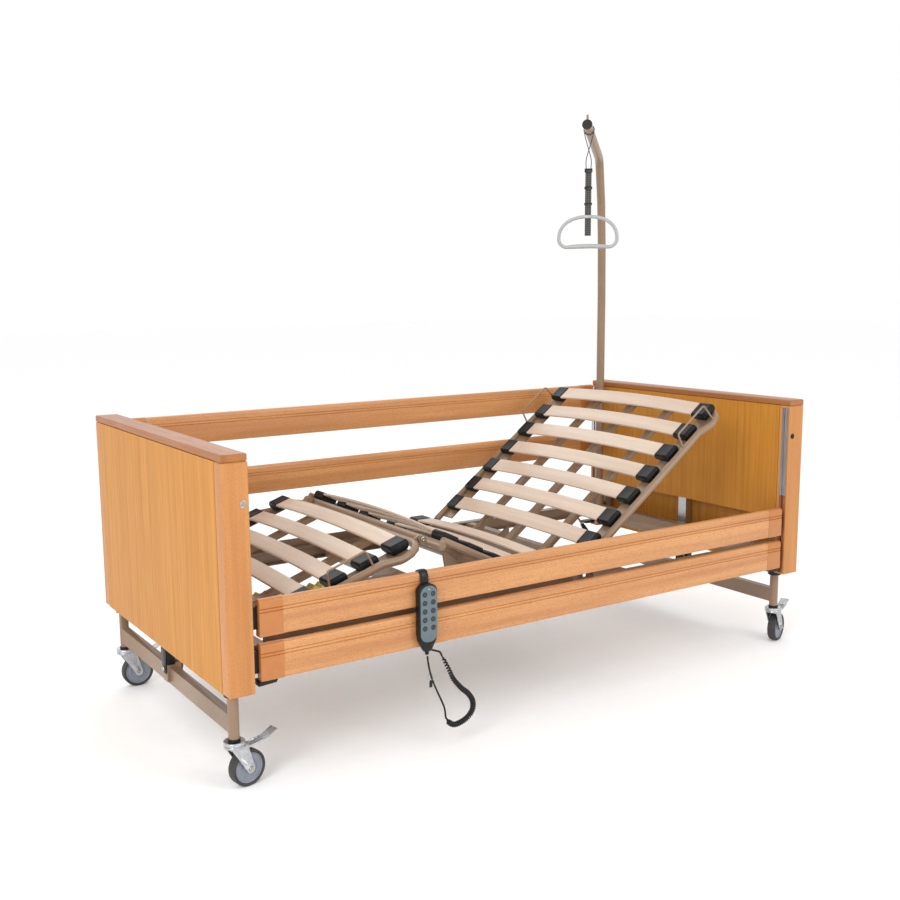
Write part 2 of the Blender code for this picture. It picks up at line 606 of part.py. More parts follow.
def slat_mesh():
    """A bowed slat with a cap block on each end; its origin is on the slat plane."""
    segments = 9
    bpy.ops.mesh.primitive_grid_add(x_subdivisions=1, y_subdivisions=segments, size=1.0)
    grid = bpy.context.object
    for vertex in grid.data.vertices:
        share = vertex.co.y * 2
        vertex.co = (vertex.co.x * SLAT_WIDTH, share * SLAT_HALF, SLAT_RISE * (1 - share ** 2))
    thick = grid.modifiers.new("thick", "SOLIDIFY")
    thick.thickness = SLAT_THICK
    thick.offset = 0.0
    bottom = STRIP_TOP + GAP - SLAT_LIFT
    for sign in (-1, 1):
        low, high = sorted((sign * SLAT_CAP_Y[0], sign * SLAT_CAP_Y[1]))
        add(grid, box((-0.031, low, bottom), (0.031, high, 0.0105)), f"cap {sign}")
    bpy.context.view_layer.update()
    evaluated = grid.evaluated_get(bpy.context.evaluated_depsgraph_get())
    mesh = bpy.data.meshes.new_from_object(evaluated)
    for tool in list(grid.children):
        bpy.data.objects.remove(tool, do_unlink=True)
    bpy.data.objects.remove(grid, do_unlink=True)
    mesh.materials.clear()
    mesh.materials.append(material("slat"))
    return mesh


def make_slats():
    mesh = slat_mesh()
    seat = [("seat", i + 1, (x, 0, HINGE_Z + SLAT_LIFT), (0, 0, 0)) for i, x in enumerate(SEAT_SLATS)]
    frames = {"back": BACK_SLATS, "thigh": THIGH_SLATS, "calf": CALF_SLATS}
    for section, number, location, rotation in seat:
        place(f"{section}_slat_{number}", mesh, "slat", location, rotation)
    for section, places in frames.items():
        frame = bpy.data.objects[f"{section}_frame"]
        turn = frame.rotation_euler.to_matrix()
        for number, along in enumerate(places, 1):
            location = Vector(frame.location) + turn @ Vector((along, 0, SLAT_LIFT))
            place(f"{section}_slat_{number}", mesh, "slat", location, frame.rotation_euler)


# ---- lifting pole and trapeze ----
def arm_point(share):
    """A point on the arm's axis, from its tip (0) to its bend (1)."""
    return Vector(ARM_TIP).lerp(Vector(POLE_BEND), share)


def make_lifting_pole():
    foot, bend, tip = Vector(POLE_FOOT), Vector(POLE_BEND), Vector(ARM_TIP)
    upright = [foot, Vector((foot.x, foot.y, 1.24)), Vector((foot.x - 0.012, foot.y - 0.010, 1.46)),
               Vector((foot.x - 0.038, foot.y - 0.032, 1.63)), bend]
    path = rounded([*upright, tip], 0.055, 5)
    obj = place("lifting_pole", tube([p - foot for p in path], POLE_RADIUS, 4), "steel_beige", foot)
    stop = arm_point(0.030) - foot
    add(obj, rod(stop, stop + Vector((0, 0, 0.036)), 0.004, 8), "stop pin")


def make_trapeze():
    """The strap hangs from the arm, and the grip hangs in the strap's lower loop."""
    hang = arm_point(HANG_SHARE)
    along = (Vector(ARM_TIP) - Vector(POLE_BEND)).normalized()
    heading = math.atan2(along.y, along.x)
    ring_outer, ring_inner = POLE_RADIUS + 0.0045, POLE_RADIUS + 0.0015
    bar_drop = GRIP_BOTTOM + GRIP_HEIGHT - GRIP_BAR - hang.z
    strap = place("trapeze_strap", rod(-along * 0.008, along * 0.008, ring_outer, 20), "webbing", hang)
    turn = Matrix.Rotation(heading, 4, "Z")

    def facing_box(low, high):
        mesh = box(low, high)
        mesh.transform(turn)
        return mesh

    loop_top = bar_drop + 0.018
    add(strap, facing_box((-0.0017, -0.0110, loop_top - 0.001), (0.0017, 0.0110, -ring_inner - 0.001)), "webbing")
    add(strap, facing_box((-0.0100, -0.0105, bar_drop - 0.0095), (0.0100, 0.0105, loop_top)), "lower loop")
    cut(strap, rod(-along * 0.020, along * 0.020, ring_inner, 20), "ring bore")
    clear = GRIP_BAR + GAP
    cut(strap, facing_box((-clear, -0.020, bar_drop - clear - 0.0009), (clear, 0.020, bar_drop + 0.014)), "loop bore")

    half, height, bar = GRIP_WIDTH / 2 - GRIP_BAR, GRIP_HEIGHT - 2 * GRIP_BAR, GRIP_BAR
    corner = 0.030
    crown = [math.radians(6 + 168 * i / 14) for i in range(15)]
    arch = [(half * math.copysign(abs(math.cos(t)) ** 0.85, math.cos(t)),
             corner + (height - corner) * math.sin(t) ** 0.90) for t in crown]
    centre = [Vector((0, u, v)) for u, v in (
        *arc((-half + corner, corner), corner, 185, 262, 4), *arc((half - corner, corner), corner, -82, -5, 4),
        *arch)]
    mesh = tube(centre, bar, 2, closed=True)
    mesh.transform(turn)
    place("trapeze_grip", mesh, "grip", (hang.x, hang.y, GRIP_BOTTOM + bar))


# ---- handset and its cord ----
def make_handset():
    width, thick, height = HANDSET_SIZE
    back = RAIL_Y + RAIL_THICK / 2 + 0.0008
    rail_top = RAIL_LOW["left"]["upper"] + RAIL_HEIGHT
    obj = place("handset", box((-width / 2, -back - thick, HANDSET_LOW), (width / 2, -back, HANDSET_LOW + height)),
                "black", (HANDSET_X, 0, 0))
    bevel(obj, 0.006, 2)
    inner, outer = RAIL_THICK / 2 + 0.0008, RAIL_THICK / 2 + 0.0040
    crown = rail_top - 0.0045
    hook = [(-RAIL_Y - outer, HANDSET_LOW + height - 0.020), (-RAIL_Y - inner, HANDSET_LOW + height - 0.020),
            *arc((-RAIL_Y, crown), inner, 180, 0, 8), (-RAIL_Y + inner, crown - 0.030),
            (-RAIL_Y + outer, crown - 0.030), *arc((-RAIL_Y, crown), outer, 0, 180, 8)]
    add(obj, plate(hook, -0.014, 0.014, "X"), "hook")
    add(obj, rod((0, -back - thick / 2, HANDSET_LOW + 0.004), (0, -back - thick / 2, 0.2783), 0.0055, 12),
        "strain relief")


def make_cord():
    """The lead from the base frame, the curly stretch, and the lead up to the handset."""
    place("cord_lead_in", tube(smooth(LEAD_IN_ROUTE, 4), LEAD_RADIUS, 2), "black")
    place("curly_cord", tube(smooth(CURL_ROUTE, 3), CURL_RADIUS, 3), "black")
    place("handset_lead", tube(smooth(HANDSET_LEAD_ROUTE, 4), LEAD_RADIUS, 2), "black")


clear_scene()
parts = collection("adjustable_care_bed")
cutters = collection("cutters")
origin_empty = bpy.data.objects.new("bed_origin", None)
origin_empty.location = BED_ORIGIN
parts.objects.link(origin_empty)

for end_name in ENDS:
    make_leg_frame(end_name)
    make_lift_motor(end_name)
    make_cap_board(end_name)
    make_panel(end_name)
    for side_name in SIDES:
        make_post(end_name, side_name)
        make_rail_track(end_name, side_name)
        make_castor(end_name, side_name)
for side_name in SIDES:
    for level_name in ("upper", "lower"):
        make_side_rail(side_name, level_name)
make_base_frame()
make_drive_unit()
make_back_frame()
make_thigh_frame()
make_calf_frame()
make_slats()
make_lifting_pole()
make_trapeze()
make_handset()
make_cord()
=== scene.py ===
"""Looks of the adjustable care bed: its boards, rails, slats, castors, lifting pole and handset.

Everything is in metres in the frame's own space: +X to the head end, +Y to the right side, +Z up.
Places are given from the middle of the bed, and MIDDLE moves them into the frame.
"""
import json
import math

import bmesh
import bpy
from mathutils import Matrix, Vector


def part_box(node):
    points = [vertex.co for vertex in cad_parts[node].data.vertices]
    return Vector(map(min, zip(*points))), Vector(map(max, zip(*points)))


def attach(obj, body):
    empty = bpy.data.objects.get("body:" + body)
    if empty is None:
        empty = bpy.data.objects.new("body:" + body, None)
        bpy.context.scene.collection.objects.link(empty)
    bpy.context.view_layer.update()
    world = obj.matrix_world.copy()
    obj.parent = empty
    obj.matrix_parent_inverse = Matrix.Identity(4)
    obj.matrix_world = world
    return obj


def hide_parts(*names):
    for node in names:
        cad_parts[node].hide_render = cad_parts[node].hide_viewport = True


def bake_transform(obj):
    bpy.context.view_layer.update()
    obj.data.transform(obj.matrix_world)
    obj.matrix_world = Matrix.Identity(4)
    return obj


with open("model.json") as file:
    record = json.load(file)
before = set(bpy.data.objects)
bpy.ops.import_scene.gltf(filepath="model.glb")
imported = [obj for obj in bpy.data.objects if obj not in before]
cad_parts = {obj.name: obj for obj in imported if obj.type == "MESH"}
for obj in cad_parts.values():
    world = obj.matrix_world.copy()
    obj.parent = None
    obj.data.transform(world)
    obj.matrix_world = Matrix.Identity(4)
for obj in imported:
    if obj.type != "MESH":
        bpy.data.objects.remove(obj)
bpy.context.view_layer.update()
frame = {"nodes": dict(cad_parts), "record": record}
bpy.ops.object.select_all(action="DESELECT")

# ---- the bed's layout, the same as the solids' ----
foot_low, foot_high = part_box("foot_cap_board")
head_low, head_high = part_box("head_cap_board")
MIDDLE = Vector(((foot_low.x + head_high.x) / 2, (foot_low.y + foot_high.y) / 2, 0.0))
BED = Matrix.Translation(MIDDLE)
ENDS = {"foot": -1, "head": 1}
SIDES = {"left": -1, "right": 1}
HALF_LENGTH = 1.090
HALF_WIDTH = 0.521
LEG_X = 1.054
LEG_Y = 0.452
HINGE_Z = 0.405
BACK_ANGLE = math.radians(37.0)
THIGH_ANGLE = math.radians(26.5)
THIGH_LENGTH = 0.373
CALF_LENGTH = 0.5163
CALF_ANGLE = math.asin(THIGH_LENGTH * math.sin(THIGH_ANGLE) / CALF_LENGTH)
BACK_HINGE_X = 0.1665
THIGH_HINGE_X = -0.079
KNEE_X = THIGH_HINGE_X - THIGH_LENGTH * math.cos(THIGH_ANGLE)
KNEE_Z = HINGE_Z + THIGH_LENGTH * math.sin(THIGH_ANGLE)
SECTION_Y = 0.426
TURN_ROUND = Matrix.Rotation(math.pi, 4, "Z")
SECTIONS = {
    "back": BED @ Matrix.Translation((BACK_HINGE_X, 0, HINGE_Z)) @ Matrix.Rotation(-BACK_ANGLE, 4, "Y"),
    "seat": BED @ Matrix.Translation((0, 0, HINGE_Z)),
    "thigh": BED @ Matrix.Translation((THIGH_HINGE_X, 0, HINGE_Z)) @ TURN_ROUND
    @ Matrix.Rotation(-THIGH_ANGLE, 4, "Y"),
    "calf": BED @ Matrix.Translation((KNEE_X, 0, KNEE_Z)) @ TURN_ROUND @ Matrix.Rotation(CALF_ANGLE, 4, "Y"),
}
SLAT_LIFT = 0.033
SLAT_PLACES = {
    "back": [0.0922 + 0.1066 * i for i in range(7)],
    "seat": [-0.045, 0.0546],
    "thigh": [0.306, 0.2065, 0.107],
    "calf": [0.0969 + 0.106 * i for i in range(4)],
}
SLAT_BODY = {"back": "back", "seat": "bed", "thigh": "thigh", "calf": "calf"}
RAIL_LOW = {"left": {"upper": 0.420, "lower": 0.302}, "right": {"upper": 0.785, "lower": 0.588}}
RAIL_HALF_LENGTH = 1.000
RAIL_HEIGHT = 0.098
RAIL_THICK = 0.024
RAIL_Y = 0.506
SLOT_Y = 0.501  # the middle of the rail tracks' slots
CASTOR_HEADING = {"foot_left": 10.0, "foot_right": 0.0, "head_left": 20.0, "head_right": 12.0}
POLE_BEND = Vector((0.885, 0.344, 1.793))
ARM_TIP = Vector((0.565, 0.050, 1.868))
HANG = ARM_TIP.lerp(POLE_BEND, 0.15)
ARM_WAY = (ARM_TIP - POLE_BEND).normalized()
ARM_HEADING = math.atan2(ARM_WAY.y, ARM_WAY.x)
GRIP_HEIGHT = 0.122
GRIP_TOP = 1.434 + GRIP_HEIGHT
POLE_FOOT = Vector((0.975, 0.420, 0))
HANDSET_X = -0.504
LEAD_RADIUS = 0.0028
CURL_RADIUS = 0.00875


# ---- camera ----
def make_camera():
    """A long lens from the foot end's left, a little above the slats."""
    yaw, pitch, roll = 0.585304, 0.155116, -0.0072618
    ahead = Vector((math.sin(yaw) * math.cos(pitch), math.cos(yaw) * math.cos(pitch), -math.sin(pitch)))
    right = Vector((math.cos(yaw), -math.sin(yaw), 0.0))
    up = right.cross(ahead)
    right, up = (right * math.cos(roll) + up * math.sin(roll), up * math.cos(roll) - right * math.sin(roll))
    turn = Matrix((right, up, -ahead)).transposed().to_4x4()
    data = bpy.data.cameras.new("camera")
    data.sensor_width = 36.0
    data.lens = 43.954
    data.shift_x = 0.00723
    data.shift_y = 0.00674
    camera = bpy.data.objects.new("camera", data)
    bpy.context.scene.collection.objects.link(camera)
    camera.matrix_world = Matrix.Translation(MIDDLE + Vector((-2.09973, -3.03125, 1.30940))) @ turn
    bpy.context.scene.camera = camera


make_camera()


# ---- materials ----
def colour(code):
    """Linear values of an sRGB hex colour."""
    parts = [int(code[i:i + 2], 16) / 255 for i in (0, 2, 4)]
    return (*[p / 12.92 if p <= 0.04045 else ((p + 0.055) / 1.055) ** 2.4 for p in parts], 1.0)


def node(tree, kind, inputs=None, **settings):
    """Adds one node; an input is a value or the socket that feeds it."""
    made = tree.nodes.new(kind)
    for name, value in settings.items():
        setattr(made, name, value)
    for name, value in (inputs or {}).items():
        if isinstance(value, bpy.types.NodeSocket):
            tree.links.new(value, made.inputs[name])
        else:
            made.inputs[name].default_value = value
    return made


def new_material(name, **shader_values):
    """An empty material with its shader; returns the material, its tree and the shader."""
    made = bpy.data.materials.new(name)
    made.use_nodes = True
    tree = made.node_tree
    shader = tree.nodes["Principled BSDF"]
    for key, value in shader_values.items():
        shader.inputs[key.replace("_", " ")].default_value = value
    return made, tree, shader


def pattern(tree, size_mm, turn=(0, 0, 0), detail=3.0, roughness=0.5):
    """A noise whose grains have the given size in millimetres along X, Y and Z."""
    place = node(tree, "ShaderNodeTexCoord").outputs["Object"]
    stretch = node(tree, "ShaderNodeMapping", {"Vector": place, "Rotation": turn,
                                               "Scale": tuple(1000.0 / s for s in size_mm)})
    values = {"Vector": stretch.outputs["Vector"], "Scale": 1.0, "Detail": detail, "Roughness": roughness}
    return node(tree, "ShaderNodeTexNoise", values).outputs["Fac"]


def band(tree, source, low, high, out_low=0.0, out_high=1.0):
    """Spreads a value from low..high to out_low..out_high."""
    return node(tree, "ShaderNodeMapRange", {"Value": source, "From Min": low, "From Max": high,
                                             "To Min": out_low, "To Max": out_high}).outputs["Result"]


def mix(tree, share, first, second, blend="MIX"):
    made = node(tree, "ShaderNodeMix", data_type="RGBA", blend_type=blend)
    for index, value in ((0, share), (6, first), (7, second)):
        if isinstance(value, bpy.types.NodeSocket):
            tree.links.new(value, made.inputs[index])
        else:
            made.inputs[index].default_value = value
    return made.outputs[2]


def bump(tree, shader, height, depth_mm, strength=1.0):
    made = node(tree, "ShaderNodeBump", {"Height": height, "Distance": depth_mm / 1000, "Strength": strength})
    tree.links.new(made.outputs["Normal"], shader.inputs["Normal"])


def wood(name, light, dark, grain, fleck, streak, roughness, board_mm=34.0, shine=0.30):
    """Sawn or printed beech: broad bands, fine streaks and the short flecks of its rays along the grain.

    The flecks are about 3 by 0.6 mm on real beech and are drawn twice as coarse, so that they show.
    """
    axis = "XYZ".index(grain)

    def along(length, width):
        size = [width] * 3
        size[axis] = length
        return size

    made, tree, shader = new_material(name, Roughness=roughness, Specular_IOR_Level=shine)
    bands = band(tree, pattern(tree, along(900, board_mm)), 0.32, 0.68)
    streaks = band(tree, pattern(tree, along(120, 2.6), detail=4.0), 0.35, 0.65)
    flecks = band(tree, pattern(tree, along(6.0, 1.3), detail=1.0), 0.56, 0.66)
    middle = tuple((a + b) / 2 for a, b in zip(colour(light), colour(dark)))
    base = mix(tree, bands, colour(light), middle)
    base = mix(tree, band(tree, streaks, 0.0, 1.0, 0.0, streak), base, mix(tree, 0.5, middle, colour(dark)))
    base = mix(tree, band(tree, flecks, 0.0, 1.0, 0.0, fleck), base, colour(dark))
    tree.links.new(base, shader.inputs["Base Color"])
    spread = (roughness - 0.05, roughness + 0.08)
    tree.links.new(band(tree, streaks, 0.0, 1.0, *spread), shader.inputs["Roughness"])
    bump(tree, shader, streaks, 0.08, 0.5)
    return made


def tinted(code, factor, lift=0.0):
    """The colour, and a second tone of it that is darker or lighter by the factor."""
    base = colour(code)
    return base, tuple(min(1.0, c * factor + lift) for c in base[:3]) + (1.0,)


def surface(tree, shader, tones, cloud_mm, detail, fine, roughness, depth_mm, strength):
    """Clouds of the two tones, and a fine pattern that spreads the roughness and gives the bump."""
    clouds = band(tree, pattern(tree, (cloud_mm,) * 3, detail=detail), 0.35, 0.65)
    tree.links.new(mix(tree, clouds, *tones), shader.inputs["Base Color"])
    tree.links.new(band(tree, fine, 0.3, 0.7, *roughness), shader.inputs["Roughness"])
    bump(tree, shader, fine, depth_mm, strength)


def painted(name, code, roughness=0.36, shade=0.10):
    """Powder coat on steel: an even colour with a fine orange peel of about 1.5 mm."""
    made, tree, shader = new_material(name, Roughness=roughness)
    peel = pattern(tree, (1.5, 1.5, 1.5), detail=2.0)
    spread = (roughness - 0.04, roughness + 0.08)
    surface(tree, shader, tinted(code, 1 - shade), 90, 3.0, peel, spread, 0.05, 0.4)
    return made


def metal(name, code, roughness, streak_mm=(2.0, 2.0, 2.0), blotch=0.25):
    """Bare or plated metal with its own clouding."""
    made, tree, shader = new_material(name, Metallic=1.0, Roughness=roughness)
    lines = pattern(tree, streak_mm, detail=3.0)
    spread = (roughness - 0.06, roughness + 0.12)
    surface(tree, shader, tinted(code, 1 - blotch), 14, 4.0, lines, spread, 0.03, 0.4)
    return made


def plastic(name, code, roughness, grain_mm=0.8, depth_mm=0.03, shade=0.12, shine=0.5):
    """Moulded plastic or rubber with a fine eroded grain."""
    made, tree, shader = new_material(name, Roughness=roughness, Specular_IOR_Level=shine)
    grain = pattern(tree, (grain_mm,) * 3, detail=2.0)
    spread = (roughness - 0.05, roughness + 0.08)
    surface(tree, shader, tinted(code, 1 + shade, 0.004), 25, 3.0, grain, spread, depth_mm, 0.5)
    return made


def track_metal():
    """Anodised extrusion above, and a brown cover strip where the rails' catches sit lower down."""
    made, tree, shader = new_material("anodised_track", Roughness=0.30)
    height = node(tree, "ShaderNodeSeparateXYZ",
                  {"Vector": node(tree, "ShaderNodeTexCoord").outputs["Object"]}).outputs["Z"]
    cover = node(tree, "ShaderNodeMath", {0: height, 1: 0.560}, operation="LESS_THAN").outputs["Value"]
    lines = band(tree, pattern(tree, (0.8, 0.8, 90)), 0.3, 0.7)
    bare = mix(tree, lines, colour("D9DBDE"), colour("B4B7BC"))
    tree.links.new(mix(tree, cover, bare, colour("9A5A36")), shader.inputs["Base Color"])
    tree.links.new(band(tree, cover, 0.0, 1.0, 1.0, 0.0), shader.inputs["Metallic"])
    bump(tree, shader, lines, 0.02, 0.4)
    return made


def woven(name, warp, weft, heading):
    """Woven webbing, 1.2 mm to a thread, seen across its width."""
    made, tree, shader = new_material(name, Roughness=0.88)
    place = node(tree, "ShaderNodeTexCoord").outputs["Object"]
    turned = node(tree, "ShaderNodeMapping",
                  {"Vector": place, "Rotation": (0, 0, -heading)}).outputs["Vector"]
    threads = [node(tree, "ShaderNodeTexWave", {"Vector": turned, "Scale": 1000 / 1.2 / 20, "Distortion": 0.6,
                                                "Detail": 1.0}, bands_direction=way).outputs["Fac"]
               for way in ("Y", "Z")]
    weave = node(tree, "ShaderNodeMath", {0: threads[0], 1: threads[1]},
                 operation="MULTIPLY").outputs["Value"]
    tree.links.new(mix(tree, weave, colour(warp), colour(weft)), shader.inputs["Base Color"])
    bump(tree, shader, weave, 0.25, 0.7)
    return made


LOOKS = {
    # printed beech foil on the rails: pinkish tan with short brown flecks
    "rail_foil": wood("beech_foil", "D49A62", "9A5A2E", "X", fleck=0.60, streak=0.30, roughness=0.30,
                      shine=0.50),
    # solid steamed beech of the posts, lacquered to a satin
    "post": wood("steamed_beech", "CC9054", "9C5E32", "Z", fleck=0.50, streak=0.32, roughness=0.40),
    # the cap boards are the same beech in a redder tone, painted darker than the posts: painted shade on
    # their upward faces
    "cap": wood("steamed_beech_cap_painted_shade", "AE7343", "834B28", "Y", fleck=0.50, streak=0.40, roughness=0.36),
    # yellow beech laminate of the panels: calm upright lines
    "panel": wood("beech_laminate", "CB8C38", "A0641F", "Z", fleck=0.0, streak=0.42, roughness=0.38,
                  board_mm=12.0, shine=0.16),
    # rail end pieces: moulded ABS in a beech tone, no grain
    "rail_end": plastic("abs_beech_tone", "B27038", 0.32, grain_mm=1.0, depth_mm=0.02, shade=0.04),
    # laminated birch slats, pale and silky
    "slat": wood("laminated_birch", "D3C0AE", "B59C86", "Y", fleck=0.22, streak=0.28, roughness=0.36),
    # beige-brown powder coat on the steel frames
    "steel": painted("powder_coated_steel", "8E745C", 0.30),
    # bright zinc plate with a soft bluish cloud
    "zinc": metal("zinc_plate", "C9CCD0", 0.24),
    # yellow chromated zinc of the ratchet
    "yellow_zinc": metal("yellow_chromate", "CDB75E", 0.30, blotch=0.35),
    # turned steel bolts
    "bolt": metal("nickel_plated_bolt", "B9B6B0", 0.28),
    # natural anodised aluminium of the lift columns, drawn lines along Z
    "aluminium": metal("anodised_aluminium", "CDD0D4", 0.32, streak_mm=(0.8, 0.8, 90), blotch=0.08),
    "track": track_metal(),
    # rubber slat caps: black with a dull sheen
    "cap_rubber": plastic("moulded_rubber", "111213", 0.40, grain_mm=1.2, depth_mm=0.05, shade=0.4,
                          shine=0.18),
    # thermoplastic tyre, warm dark grey
    "tyre": plastic("tyre_rubber", "3A3837", 0.58, grain_mm=1.0, depth_mm=0.05, shine=0.30),
    # polypropylene wheel disc, blue-grey
    "disc": plastic("polypropylene_disc", "7E828D", 0.38),
    # black polyamide and ABS of handset, brackets and collars
    "black": plastic("black_polyamide", "0E0F10", 0.32, shade=0.3, shine=0.30),
    # soft PVC of the cords
    "cable": plastic("pvc_sheath", "0C0C0C", 0.34, grain_mm=1.5, depth_mm=0.02, shade=0.3, shine=0.35),
    # printed polyester foil of the handset's key field
    "foil": plastic("key_field_foil", "58696E", 0.28, grain_mm=0.7, depth_mm=0.01, shade=0.06),
    "key": plastic("printed_key", "20262B", 0.32, grain_mm=0.7, depth_mm=0.01),
    # polyamide grip, light grey with a gloss
    "grip": plastic("grey_polyamide", "A3A5A4", 0.22, grain_mm=2.0, depth_mm=0.02, shade=0.03),
    # drive housing, dark grey ABS
    "housing": plastic("grey_abs", "2B2C2E", 0.46, grain_mm=1.0, depth_mm=0.05, shade=0.15),
    # polyamide webbing, dark grey-brown
    "webbing": woven("polyamide_webbing", "3A3836", "6B6864", ARM_HEADING),
}
# the small pale lens of the handset's lamp
LENS, LENS_TREE, LENS_SHADER = new_material("lamp_lens", Roughness=0.15)
LENS_TREE.links.new(mix(LENS_TREE, band(LENS_TREE, pattern(LENS_TREE, (0.8, 0.8, 0.8)), 0.3, 0.7),
                        colour("BFE3CF"), colour("E8F5EC")), LENS_SHADER.inputs["Base Color"])
LOOKS["lens"] = LENS


# ---- modelling ----
def only(obj):
    bpy.ops.object.select_all(action="DESELECT")
    obj.select_set(True)
    bpy.context.view_layer.objects.active = obj
    return obj


def apply_place(obj):
    only(obj)
    bpy.ops.object.transform_apply(location=True, rotation=True, scale=True)
    return obj


def apply_modifier(obj, kind, **settings):
    only(obj)
    made = obj.modifiers.new("step", kind)
    for key, value in settings.items():
        setattr(made, key, value)
    bpy.ops.object.modifier_apply(modifier=made.name)
    return obj


def soften(obj, width, segments=2, angle=35.0):
    return apply_modifier(obj, "BEVEL", width=width, segments=segments, limit_method="ANGLE",
                          angle_limit=math.radians(angle), use_clamp_overlap=True)


def block(low, high, edge=0.0, segments=2):
    """A box between two corners with softened edges."""
    low, high = Vector(low), Vector(high)
    bpy.ops.mesh.primitive_cube_add(size=1.0, location=(low + high) / 2)
    obj = bpy.context.object
    obj.scale = high - low
    apply_place(obj)
    return soften(obj, edge, segments) if edge else obj


def bar(start, end, radius, sides=24, edge=0.0, top=None):
    """A round bar from start to end, tapering to the radius top if that is given."""
    start, end = Vector(start), Vector(end)
    way = end - start
    bpy.ops.mesh.primitive_cone_add(vertices=sides, radius1=radius, radius2=radius if top is None else top,
                                    depth=way.length, location=(start + end) / 2,
                                    rotation=way.to_track_quat("Z", "Y").to_euler())
    obj = apply_place(bpy.context.object)
    return soften(obj, edge, 2, 50.0) if edge else obj


def pipe(points, radius, rings=4, closed=False, swell=lambda point: 1.0):
    """A round tube that follows the points, as a mesh; swell gives how much thicker it is at a point."""
    bpy.ops.curve.primitive_bezier_curve_add(location=(0, 0, 0))
    obj = bpy.context.object
    curve = obj.data
    curve.splines.clear()
    spline = curve.splines.new("POLY")
    spline.points.add(len(points) - 1)
    for knot, point in zip(spline.points, points):
        knot.co = (*point, 1.0)
        knot.radius = swell(point)
    spline.use_cyclic_u = closed
    curve.dimensions = "3D"
    curve.bevel_depth = radius
    curve.bevel_resolution = rings
    curve.use_fill_caps = not closed
    only(obj)
    bpy.ops.object.convert(target="MESH")
    obj = bpy.context.object
    edit(obj)
    bpy.ops.mesh.select_all(action="SELECT")
    bpy.ops.mesh.remove_doubles(threshold=0.00001)
    bpy.ops.mesh.normals_make_consistent(inside=False)
    return leave(obj)


def edit(obj):
    only(obj)
    bpy.ops.object.mode_set(mode="EDIT")
    bpy.ops.mesh.select_mode(type="FACE")
    bpy.ops.mesh.select_all(action="DESELECT")
    return obj


def leave(obj):
    bpy.ops.object.mode_set(mode="OBJECT")
    return obj


def pick(obj, test):
    """Selects the faces for which test(centre, normal) holds, in edit mode."""
    bpy.ops.mesh.select_mode(type="FACE")
    bpy.ops.mesh.select_all(action="DESELECT")
    shape = bmesh.from_edit_mesh(obj.data)
    for face in shape.faces:
        face.select_set(bool(test(face.calc_center_median(), face.normal)))
    bmesh.update_edit_mesh(obj.data)


def pick_points(obj, test):
    """Selects the points for which test(place) holds, in edit mode."""
    bpy.ops.mesh.select_mode(type="VERT")
    bpy.ops.mesh.select_all(action="DESELECT")
    shape = bmesh.from_edit_mesh(obj.data)
    for point in shape.verts:
        point.select_set(bool(test(point.co)))
    shape.select_flush_mode()
    bmesh.update_edit_mesh(obj.data)


def slice_at(place, normal):
    """Cuts the edges of the mesh in edit mode along a plane."""
    bpy.ops.mesh.select_all(action="SELECT")
    bpy.ops.mesh.bisect(plane_co=place, plane_no=normal)


def inset(thick, depth=0.0, each=False):
    """Insets the picked faces, and sinks or raises them by depth."""
    bpy.ops.mesh.inset(thickness=thick, depth=depth, use_individual=each)


def scale_about(factors, centre):
    bpy.ops.transform.resize(value=factors, center_override=centre)


def shift(way):
    bpy.ops.transform.translate(value=way)


def joined(*pieces):
    bpy.ops.object.select_all(action="DESELECT")
    for piece in pieces:
        piece.select_set(True)
    bpy.context.view_layer.objects.active = pieces[0]
    bpy.ops.object.join()
    return bpy.context.object


def collar(low, high, radius, sides, wall, edge, **settings):
    """An upright ring with softened edges."""
    ring = bar(low, high, radius, sides)
    edit(ring)
    pick(ring, lambda centre, normal: abs(normal.z) > 0.9)
    bpy.ops.mesh.delete(type="FACE")
    leave(ring)
    apply_modifier(ring, "SOLIDIFY", thickness=wall, offset=-1.0, **settings)
    return soften(ring, edge, 2, 50.0)


def copied(obj):
    """A copy with its own mesh."""
    made = obj.copy()
    made.data = obj.data.copy()
    bpy.context.scene.collection.objects.link(made)
    return made


def finish(obj, name, look, body, at=BED, angle=35.0, stands_for=()):
    """Settles a piece in the frame, gives it its look and says what it rides on."""
    obj.name = name
    obj.data.name = name
    obj.matrix_world = at @ obj.matrix_world
    apply_place(obj)
    bpy.ops.object.shade_smooth_by_angle(angle=math.radians(angle))
    obj.data.materials.clear()
    obj.data.materials.append(LOOKS[look])
    if body:
        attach(obj, body)
    if stands_for:
        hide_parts(*stands_for)
    return obj


def body_of_node(name):
    for body, members in frame["record"]["behaviour"]["bodies"].items():
        if name in members:
            return body
    return None


def rounded_copy(name, look, angle=42.0):
    """The node's own shape, welded and shaded smooth where it is round."""
    source = frame["nodes"][name]
    obj = bpy.data.objects.new(name + "_skin", source.data.copy())
    bpy.context.scene.collection.objects.link(obj)
    obj.data.materials.clear()
    edit(obj)
    bpy.ops.mesh.select_all(action="SELECT")
    bpy.ops.mesh.remove_doubles(threshold=0.00002)
    bpy.ops.mesh.dissolve_limited(angle_limit=math.radians(0.5))
    leave(obj)
    settled = Matrix.Identity(4)
    return finish(obj, name + "_skin", look, body_of_node(name), settled, angle, (name,))


def smooth(route, per_step):
    """A Catmull-Rom curve through the route's points."""
    knots = [Vector(p) for p in route]
    knots = [2 * knots[0] - knots[1], *knots, 2 * knots[-1] - knots[-2]]
    line = []
    for a, b, c, d in zip(knots, knots[1:], knots[2:], knots[3:]):
        for i in range(per_step):
            t = i / per_step
            line.append(0.5 * (2 * b + (c - a) * t + (2 * a - 5 * b + 4 * c - d) * t ** 2
                               + (3 * b - a - 3 * c + d) * t ** 3))
    line.append(knots[-2])
    return line


